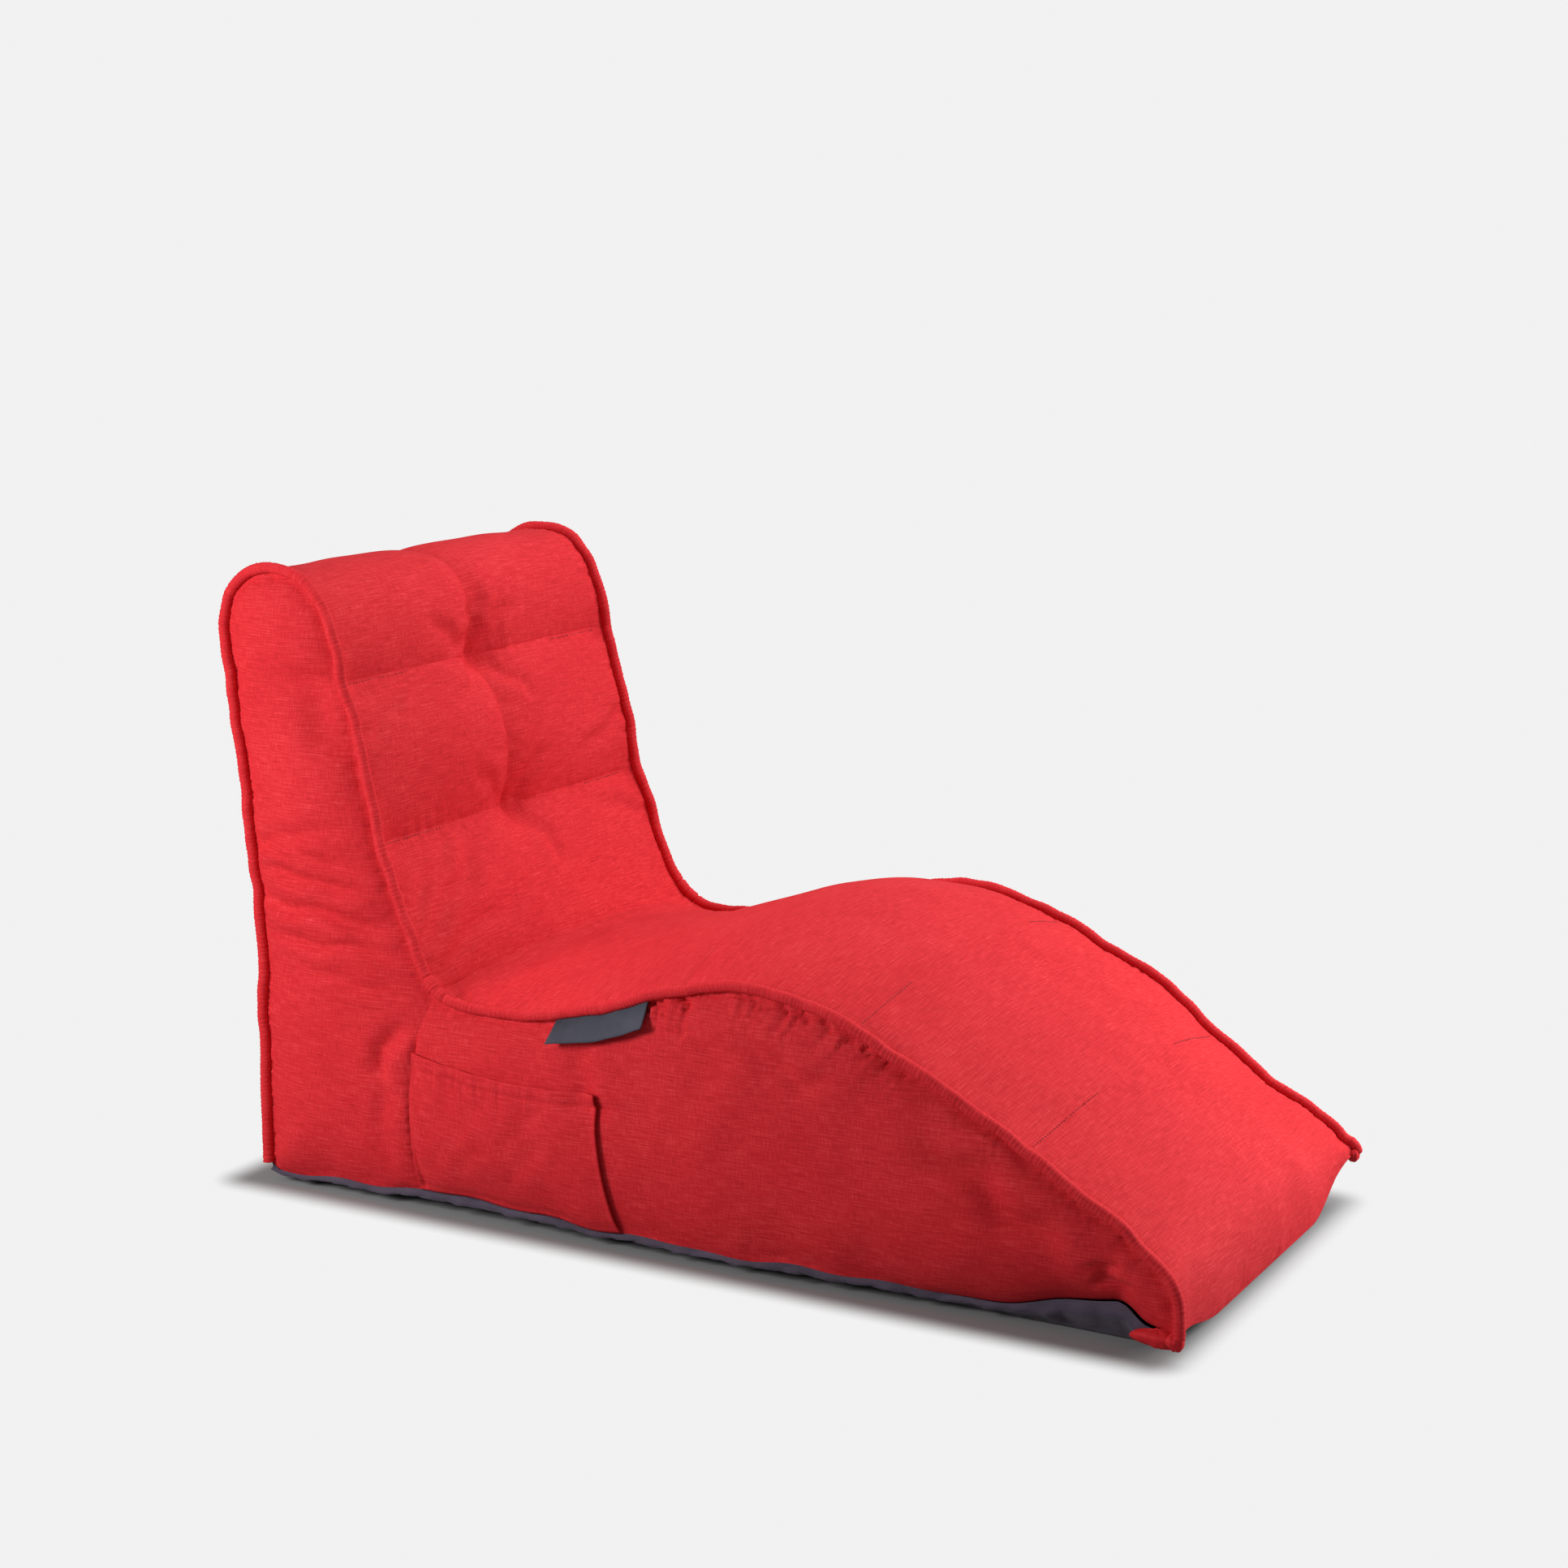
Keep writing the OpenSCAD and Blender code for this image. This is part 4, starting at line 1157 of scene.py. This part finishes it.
def build_pocket(cover):
    """The side pocket: a patch with a hem along its mouth and a folded ridge down its front edge."""
    surface = surface_of(cover["side_seat_right_cover"], cover["side_back_right_cover"])
    y0, y1 = POCKET_LOW.y, POCKET_HIGH.y
    top, bottom = POCKET_HIGH.z, 0.030
    columns = round((y1 - y0) / POCKET_STEP) + 1
    rows = round((top - bottom) / POCKET_STEP) + 1
    front = np.zeros((rows, columns, 3))
    for j in range(columns):
        u = j / (columns - 1)
        # the rear edge leans back towards the floor, the front edge forward
        lean = 0.010 * math.sin(math.pi * u) + 0.012 * u
        for i in range(rows):
            v = i / (rows - 1)
            y = y1 + (y0 - y1) * u - (0.016 * v**1.6 * u) + (0.010 * v * (1 - u))
            seam_z = float(base_seam_z(-HALF_W, y)) + 0.002
            z = (top - lean) + (seam_z - top + lean) * v
            down = (1 - v) * (top - bottom)
            edge = min(u, 1 - u) * (y1 - y0)
            hollow = 1 - math.exp(-edge / 0.05)
            mouth = math.exp(-v / 0.16)
            gap = 0.0030 + 0.0055 * hollow * math.sin(math.pi * min(1, v * 0.9 + 0.1))
            gap += 0.0050 * mouth * hollow
            hem_depth = v * (top - bottom)
            gap += 0.0016 * float(smoothstep(HEM, HEM - 0.004, hem_depth))
            gap -= 0.0016 * math.exp(-(((hem_depth - HEM) / 0.0022) ** 2))
            gap += 0.0030 * math.exp(-((edge / 0.0045) ** 2))
            crimp = float(wander(y, 5, 0.031)) * float(smoothstep(0.05, 0.5, 1 - u))
            gap += 0.0013 * math.exp(-((down - 0.9 * (top - bottom)) ** 2) / 0.0009) * crimp
            gap += 0.0020 * float(wander(y + 0.3 * z, 9, 0.11)) * hollow * float(wander(z, 12, 0.16))
            gap = max(gap * float(smoothstep(1.02, 0.90, v)), 0.0015)
            front[i, j] = (side_x(surface, y, z) - gap, y, z)
    obj = thick_sheet("side_pocket", front, POCKET_THICK)
    dressed(obj, RED, "cover_fabric", "pocket_panel")
    return front


LABEL_TILT = math.radians(40)
LABEL_DROP = 0.038
LABEL_THICK = 0.0012
LABEL_STEP = 0.003


def build_label(net, points):
    """The plain label tab, sewn in under the right piping."""
    line = net.line(points, range(THIGH - 30, CREASE), [0])
    order = np.argsort(line[:, 1])
    columns = round((LABEL_HIGH.y - LABEL_LOW.y) / LABEL_STEP) + 1
    rows = round(LABEL_DROP / LABEL_STEP) + 1
    sheet = np.zeros((rows, columns, 3))
    for j, y in enumerate(np.linspace(LABEL_HIGH.y, LABEL_LOW.y, columns)):
        u = j / (columns - 1)
        x, z = (np.interp(y, line[order, 1], line[order, k]) for k in (0, 2))
        for i in range(rows):
            v = i / (rows - 1)
            sag = LABEL_TILT - 0.10 * math.sin(math.pi * u)
            lift = 0.0012 * math.sin(5.0 * u + 1.0) * v
            sheet[i, j] = (
                x - 0.005 - LABEL_DROP * v * math.sin(LABEL_TILT + 0.10 * v) - lift,
                y + 0.006 * v * (0.5 - u),
                z - 0.004 - LABEL_DROP * v * math.cos(sag) - 0.004 * v * u,
            )
    obj = thick_sheet("label", sheet, LABEL_THICK)
    dressed(obj, SLATE, "label_fabric", "label_tab")


STITCH_LENGTH, STITCH_GAP, STITCH_R = 0.0034, 0.0030, 0.0007
STITCH_TO_SEAM = 0.0045


def stitch_row(path, co, faces):
    """Adds a row of short thread stitches along a path of (point, outward normal)."""
    places, normals = (np.array([step[k] for step in path]) for k in (0, 1))
    s = lengths_along(places)

    def between(t, values):
        return np.array([np.interp(t, s, values[:, k]) for k in range(3)])

    start = 0.0
    while start + STITCH_LENGTH < s[-1]:
        ends = [between(start + STITCH_LENGTH * t, places) for t in (0, 0.25, 0.5, 0.75, 1)]
        normal = unit(between(start + STITCH_LENGTH / 2, normals))
        along = unit(ends[-1] - ends[0])
        side = np.cross(normal, along)
        first = len(co)
        for end, rise, size in zip(ends, (-0.4, 0.5, 0.8, 0.5, -0.4), (0.5, 1, 1.1, 1, 0.5)):
            centre = end + normal * rise * STITCH_R
            for turn in range(5):
                angle = turn * 2 * math.pi / 5
                co.append(centre + (side * math.cos(angle) + normal * math.sin(angle)) * STITCH_R * size)
        faces += ring_faces(5, 5, first)
        faces += [[first + k for k in range(4, -1, -1)], [first + 20 + k for k in range(5)]]
        start += STITCH_LENGTH + STITCH_GAP


def build_stitches(net, points, cover, pocket):
    """Rows of stitches: along the cross seams near the piping, and along the pocket's hem and edges."""
    surface = surface_of(*cover.values())
    co, faces = [], []
    normals = grid_normals(points[: net.rows * net.columns].reshape(net.rows, net.columns, 3))
    for row in (LOWER, UPPER, CALF, KNEE):
        for sign in (-1, 1):
            reach = range(2, 15) if row != CALF else range(2, 20)
            path = []
            for j in reach:
                j = j if sign < 0 else net.columns - 1 - j
                place, normal = points[net.index(row, j)], normals[row, j]
                along = unit(points[net.index(row + 2, j)] - place)
                origin = place - along * STITCH_TO_SEAM + normal * 0.03
                hit = surface.ray_cast(Vector(origin), Vector(-normal))
                if hit[0] is not None:
                    path.append((np.array(hit[0]), np.array(hit[1])))
            if len(path) > 3:
                stitch_row(path, co, faces)
    hem_row = round(HEM / POCKET_STEP)
    for line in (pocket[hem_row, 3:-3], pocket[3:-6, 3], pocket[3:-6, -4]):
        stitch_row([(p - np.array([0.0002, 0, 0]), (-1.0, 0.0, 0.0)) for p in line], co, faces)
    obj = new_object("stitching", co, faces)
    dressed(obj, THREAD, "cover_fabric")


# ---- Corner gathers ----


def build_gather(place, name, size, seed):
    """A small knot of gathered cloth where a piping ends."""
    rings, sides = 14, 36
    co = []
    for i in range(rings + 1):
        a = math.pi * i / rings
        for k in range(sides):
            b = 2 * math.pi * k / sides
            fold = 1 + 0.10 * float(wander(b * 0.03, seed, 0.021)) * math.sin(a)
            fold += 0.05 * math.sin(5 * b + 2 * a)
            r = fold * (0.92 + 0.08 * math.cos(3 * a + b))
            spoke = (math.sin(a) * math.cos(b), math.sin(a) * math.sin(b), math.cos(a))
            co.append(Vector(place) + Vector([d * reach for d, reach in zip(spoke, size)]) * r)
    faces = [[a, d, c, b] for a, b, c, d in ring_faces(rings + 1, sides)]
    uv = [[(0.002 * k, 0.002 * i)] * 4 for i in range(rings) for k in range(sides)]
    obj = new_object(name, co, faces, uv)
    return dressed(obj, RED_PIPING, "cover_fabric")


# ---- Filling, liners and wadding ----


def pillow(name, outline, half_width, material, slot, *nodes):
    """A stuffed body: a closed outline in Y and Z carried across the chair, rounded off at its two ends."""
    outline = np.array(outline)
    for _ in range(3):
        ahead = np.roll(outline, -1, axis=0)
        outline = np.stack([outline * 0.75 + ahead * 0.25, outline * 0.25 + ahead * 0.75], 1).reshape(-1, 2)
    middle = outline.mean(0)
    stations = np.sin(np.linspace(-math.pi / 2, math.pi / 2, 25))
    co, count = [], len(outline)
    for t in stations:
        scale = 0.80 + 0.20 * math.sqrt(max(0.0, 1 - abs(t) ** 6))
        for k, p in enumerate(outline):
            dent = 1 - 0.006 * math.sin(9 * t + k * 0.5)
            q = middle + (p - middle) * scale * dent
            co.append((half_width * t, q[0], q[1]))
    faces = ring_faces(len(stations), count)
    faces.append(list(range(count))[::-1])
    faces.append([(len(stations) - 1) * count + k for k in range(count)])
    obj = new_object(name, co, faces)
    dressed(obj, material, slot, *nodes)
    return obj


WADDING_DEPTH, WADDING_THICK = 0.010, 0.008


def wadding(net, grid, name, first, last, node):
    """The quilting layer under the cover, dented along its seams like the cover itself."""
    kept = slice(4, net.columns - 4)
    face = grid[first : last + 1, kept] - grid_normals(grid)[first : last + 1, kept] * WADDING_DEPTH
    obj = thick_sheet(name, face[::2], WADDING_THICK)
    dressed(obj, WADDING, "wadding", node)
    return obj


LINER_INSET, BEAD_INSET = 0.075, 0.080


def inner_outline(first, last, inset, extra):
    """The side outline between two rows, moved in, and closed by the extra points."""
    line = section(0.0) + np.array([FOOT_Y, 0])
    tangent = np.gradient(line, axis=0)
    moved = line - units(np.stack([-tangent[:, 1], tangent[:, 0]], 1)) * inset
    return [tuple(p) for p in moved[first:last:12]] + extra


def build_inside(net, grid):
    crease = section(0.0)[CREASE] + np.array([FOOT_Y, 0])
    rear_y = FOOT_Y + LENGTH
    web = [(crease[0] - 0.015, crease[1] - 0.055), (crease[0] - 0.09, 0.045)]
    for suffix, inset, material, slot in (
        ("liner", LINER_INSET, LINER, "liner_fabric"), ("beads", BEAD_INSET, BEADS, "bead_filling"),
    ):
        far = inset - LINER_INSET
        seat = inner_outline(CALF, CREASE - 14, inset, [
            (web[0][0] - 0.03 - far, web[0][1] - 0.02), (web[1][0] - 0.03 - far, 0.05 + far),
            (FOOT_Y + 0.12, 0.05 + far), (FOOT_Y + 0.08 + far, 0.08),
        ])
        back = inner_outline(CREASE + 20, REAR_TOP + 4, inset, [
            (rear_y - 0.07 - far, 0.60), (rear_y - 0.08 - far, 0.07), (web[1][0] + 0.05 + far, 0.05 + far),
            (web[0][0] + 0.05 + far, web[0][1] - 0.02),
        ])
        half = HALF_W - inset + 0.02
        for body, outline in (("seat", seat), ("backrest", back)):
            title = f"{body}_liner_bag" if suffix == "liner" else f"{body}_filling"
            pillow(title, outline, half, material, slot, f"{body}_{suffix}")
    wadding(net, grid, "seat_quilting", CALF, CREASE - 3, "seat_wadding")
    wadding(net, grid, "backrest_quilting", CREASE + 3, REAR_TOP, "backrest_wadding")
    # the web that ties the crease down
    steps, across = 40, 50
    sheet = np.zeros((steps, across, 3))
    for i in range(steps):
        v = i / (steps - 1)
        for j in range(across):
            u = 2 * j / (across - 1) - 1
            y = web[0][0] + 0.012 + (web[1][0] - web[0][0]) * v + 0.002 * math.sin(9 * u + 3 * v)
            z = web[0][1] + (0.012 - web[0][1]) * v
            sheet[i, j] = (u * (HALF_W - 0.03), y, z)
    obj = thick_sheet("crease_web", sheet, 0.0012)
    dressed(obj, LINER, "liner_fabric", "baffle_panel")


# ---- Zip ----


def finish_zip():
    """The zip keeps its exact CAD shape, which is small, and takes on real cloth, nylon and metal."""
    finishes = {
        "zip_upper_tape": (TAPE, "zip_tape"), "zip_lower_tape": (TAPE, "zip_tape"),
        "zip_end_tabs": (TAPE, "zip_tape"), "zip_slider": (METAL, "zip_metal"),
        "zip_pull": (METAL, "zip_metal"),
    }
    for node, (material, slot) in finishes.items():
        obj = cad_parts[node]
        obj.data.materials.clear()
        obj.data.materials.append(material)
    build_coil()


# Length of one nylon loop along the zip, and half the nylon's thickness
TOOTH = 0.0030
LOOP_R = 0.00045


def build_coil():
    """The zip's coil: two rows of nylon loops that meet along the middle."""
    y = (COIL_LOW.y + COIL_HIGH.y) / 2
    co, faces = [], []
    length = COIL_HIGH.x - COIL_LOW.x
    half = (COIL_HIGH.z - COIL_LOW.z) / 2
    thick = (COIL_HIGH.y - COIL_LOW.y) / 2
    sides, turn_steps = 6, 10
    for row in (-1, 1):
        steps = int(length / TOOTH) * turn_steps
        first = len(co)
        for i in range(steps + 1):
            a = i * 2 * math.pi / turn_steps + (math.pi if row > 0 else 0)
            centre = np.array([
                COIL_LOW.x + length * i / steps, y + math.cos(a) * (thick - 0.0005),
                ZIP_Z + row * half * 0.42 + math.sin(a) * half * 0.52,
            ])
            tangent = unit([TOOTH / (2 * math.pi), -math.sin(a) * thick, math.cos(a) * half * 0.52])
            n1 = unit(np.cross(tangent, np.array([1.0, 0, 0])))
            n2 = np.cross(tangent, n1)
            for k in range(sides):
                b = 2 * math.pi * k / sides
                co.append(centre + (n1 * math.cos(b) + n2 * math.sin(b)) * LOOP_R)
        faces += ring_faces(steps + 1, sides, first)
        faces.append([first + k for k in range(sides)][::-1])
        faces.append([first + steps * sides + k for k in range(sides)])
    obj = new_object("zip_teeth", co, faces)
    dressed(obj, COIL, "zip_coil", "zip_coil")


# ---- Camera, light and floor ----

VIEW_AZIMUTH, VIEW_ELEVATION = -60.96, 11.11
VIEW_LENS = 65.06
VIEW_DISTANCE, VIEW_ACROSS, VIEW_UP = 4.126, -0.001, 0.618


def build_camera():
    a, e = math.radians(VIEW_AZIMUTH), math.radians(VIEW_ELEVATION)
    back = Vector((math.sin(a) * math.cos(e), -math.cos(a) * math.cos(e), math.sin(e)))
    right = Vector((math.cos(a), math.sin(a), 0))
    camera = bpy.data.objects.new("camera", bpy.data.cameras.new("camera"))
    bpy.context.collection.objects.link(camera)
    camera.data.lens = VIEW_LENS
    camera.data.sensor_width = 36
    camera.location = back * VIEW_DISTANCE + right * VIEW_ACROSS + Vector((0, 0, VIEW_UP))
    camera.rotation_euler = (-back).to_track_quat("-Z", "Y").to_euler()
    bpy.context.scene.camera = camera


def area_light(name, place, target, size, power):
    light = bpy.data.lights.new(name, "AREA")
    light.shape = "RECTANGLE"
    light.size, light.size_y = size
    light.energy = power
    obj = bpy.data.objects.new(name, light)
    bpy.context.collection.objects.link(obj)
    obj.location = place
    obj.rotation_euler = (Vector(target) - Vector(place)).to_track_quat("-Z", "Y").to_euler()


BACKDROP = 0.885
AMBIENT = 0.21
# Grey of the matt floor: it sets the light the floor throws back, and where the camera sees it by the chair
# it darkens the floor into a painted contact shadow
FLOOR_TONE_AND_PAINTED_SHADE = 0.32
# How far from the chair the floor starts to fade from its painted shadow into the backdrop, and where it has
FADE_FROM, FADE_TO = 0.004, 0.070


def floor_with_painted_shadow():
    """Matt grey floor under the chair, darker than the backdrop, so that a painted shadow rings the chair on
    top of the lamps' own shadow; away from it the floor fades into the backdrop's even brightness.
    """
    nodes = Nodes("floor_with_painted_shadow")
    place = nodes.add("ShaderNodeTexCoord").outputs["Object"]
    axes = nodes.add("ShaderNodeSeparateXYZ", {"Vector": place})
    beyond = [
        nodes.math("MAXIMUM", nodes.math("SUBTRACT", nodes.math("ABSOLUTE", axes.outputs[axis]), half), 0.0)
        for axis, half in (("X", HALF_W), ("Y", LENGTH / 2))
    ]
    squares = [nodes.math("MULTIPLY", d, d) for d in beyond]
    distance = nodes.math("SQRT", nodes.math("ADD", *squares))
    fade = nodes.add(
        "ShaderNodeMapRange", {"Value": distance, "From Min": FADE_FROM, "From Max": FADE_TO},
        interpolation_type="SMOOTHSTEP",
    )
    # only the camera sees the fade, so that the floor lights the chair like a plain matt one
    seen = nodes.add("ShaderNodeLightPath").outputs["Is Camera Ray"]
    share = nodes.math("MULTIPLY", fade.outputs["Result"], seen)
    glow = nodes.add("ShaderNodeEmission", {"Color": (1, 1, 1, 1), "Strength": BACKDROP})
    # the grey matt floor, which by the chair is seen as a painted contact shadow
    nodes.look(Base_Color=(FLOOR_TONE_AND_PAINTED_SHADE, FLOOR_TONE_AND_PAINTED_SHADE, FLOOR_TONE_AND_PAINTED_SHADE, 1), Roughness=0.9, Specular_IOR_Level=0.0)
    mix = nodes.add(
        "ShaderNodeMixShader",
        {0: share, 1: nodes.shader.outputs["BSDF"], 2: glow.outputs["Emission"]},
    )
    nodes.tree.links.new(mix.outputs["Shader"], nodes.tree.nodes["Material Output"].inputs["Surface"])
    return nodes.material


def build_studio():
    world = bpy.data.worlds.new("studio")
    world.use_nodes = True
    tree = world.node_tree
    background = tree.nodes["Background"]
    background.inputs["Color"].default_value = (1, 1, 1, 1)
    # the backdrop is seen brighter than it lights
    seen = tree.nodes.new("ShaderNodeLightPath")
    strength = tree.nodes.new("ShaderNodeMapRange")
    strength.inputs["To Min"].default_value = AMBIENT
    strength.inputs["To Max"].default_value = BACKDROP
    tree.links.new(seen.outputs["Is Camera Ray"], strength.inputs["Value"])
    tree.links.new(strength.outputs["Result"], background.inputs["Strength"])
    bpy.context.scene.world = world
    bpy.context.scene.view_settings.view_transform = "Standard"
    floor = new_object("floor", [(-40, -40, 0), (40, -40, 0), (40, 40, 0), (-40, 40, 0)], [(0, 1, 2, 3)])
    floor.data.materials.append(floor_with_painted_shadow())
    area_light("overhead", (0.7, -0.2, 3.0), (0.1, -0.1, 0.2), (2.0, 2.0), 57)
    area_light("front", (1.2, -2.1, 1.0), (0, -0.5, 0.25), (1.0, 1.0), 46)
    area_light("rear_left", (-1.9, 1.2, 1.05), (-0.3, 0.40, 0.45), (0.7, 0.7), 33)


build_camera()
build_studio()
grid = wavy_seam(quilted(build_grid()))
net = Net(grid)
add_top(net, grid)
for sign in (-1, 1):
    add_side(net, grid, sign)
points = inflated(net)
cover = build_cover(net, points)
for sign, label in ((-1, "right"), (1, "left")):
    for part, first, last in (("back", CREASE, END), ("seat", 0, CREASE)):
        build_piping(
            net, points, sign, first, last, f"piping_tube_{part}_{label}",
            (f"piping_{part}_{label}", f"cord_{part}_{label}"), 300 + 10 * sign + len(part) + first,
        )
build_base(net, points)
pocket = build_pocket(cover)
build_label(net, points)
build_stitches(net, points, cover, pocket)
corner = points[net.index(0, 0)]
build_gather(corner + np.array([0.004, 0.004, -0.006]), "corner_gather_right", (0.015, 0.013, 0.013), 3)
build_gather(corner + np.array([0.012, 0.032, -0.010]), "corner_patch_right", (0.012, 0.036, 0.013), 5)
corner = points[net.index(0, -1)]
build_gather(corner + np.array([-0.003, 0.003, -0.002]), "corner_gather_left", (0.012, 0.012, 0.011), 8)
build_inside(net, grid)
finish_zip()
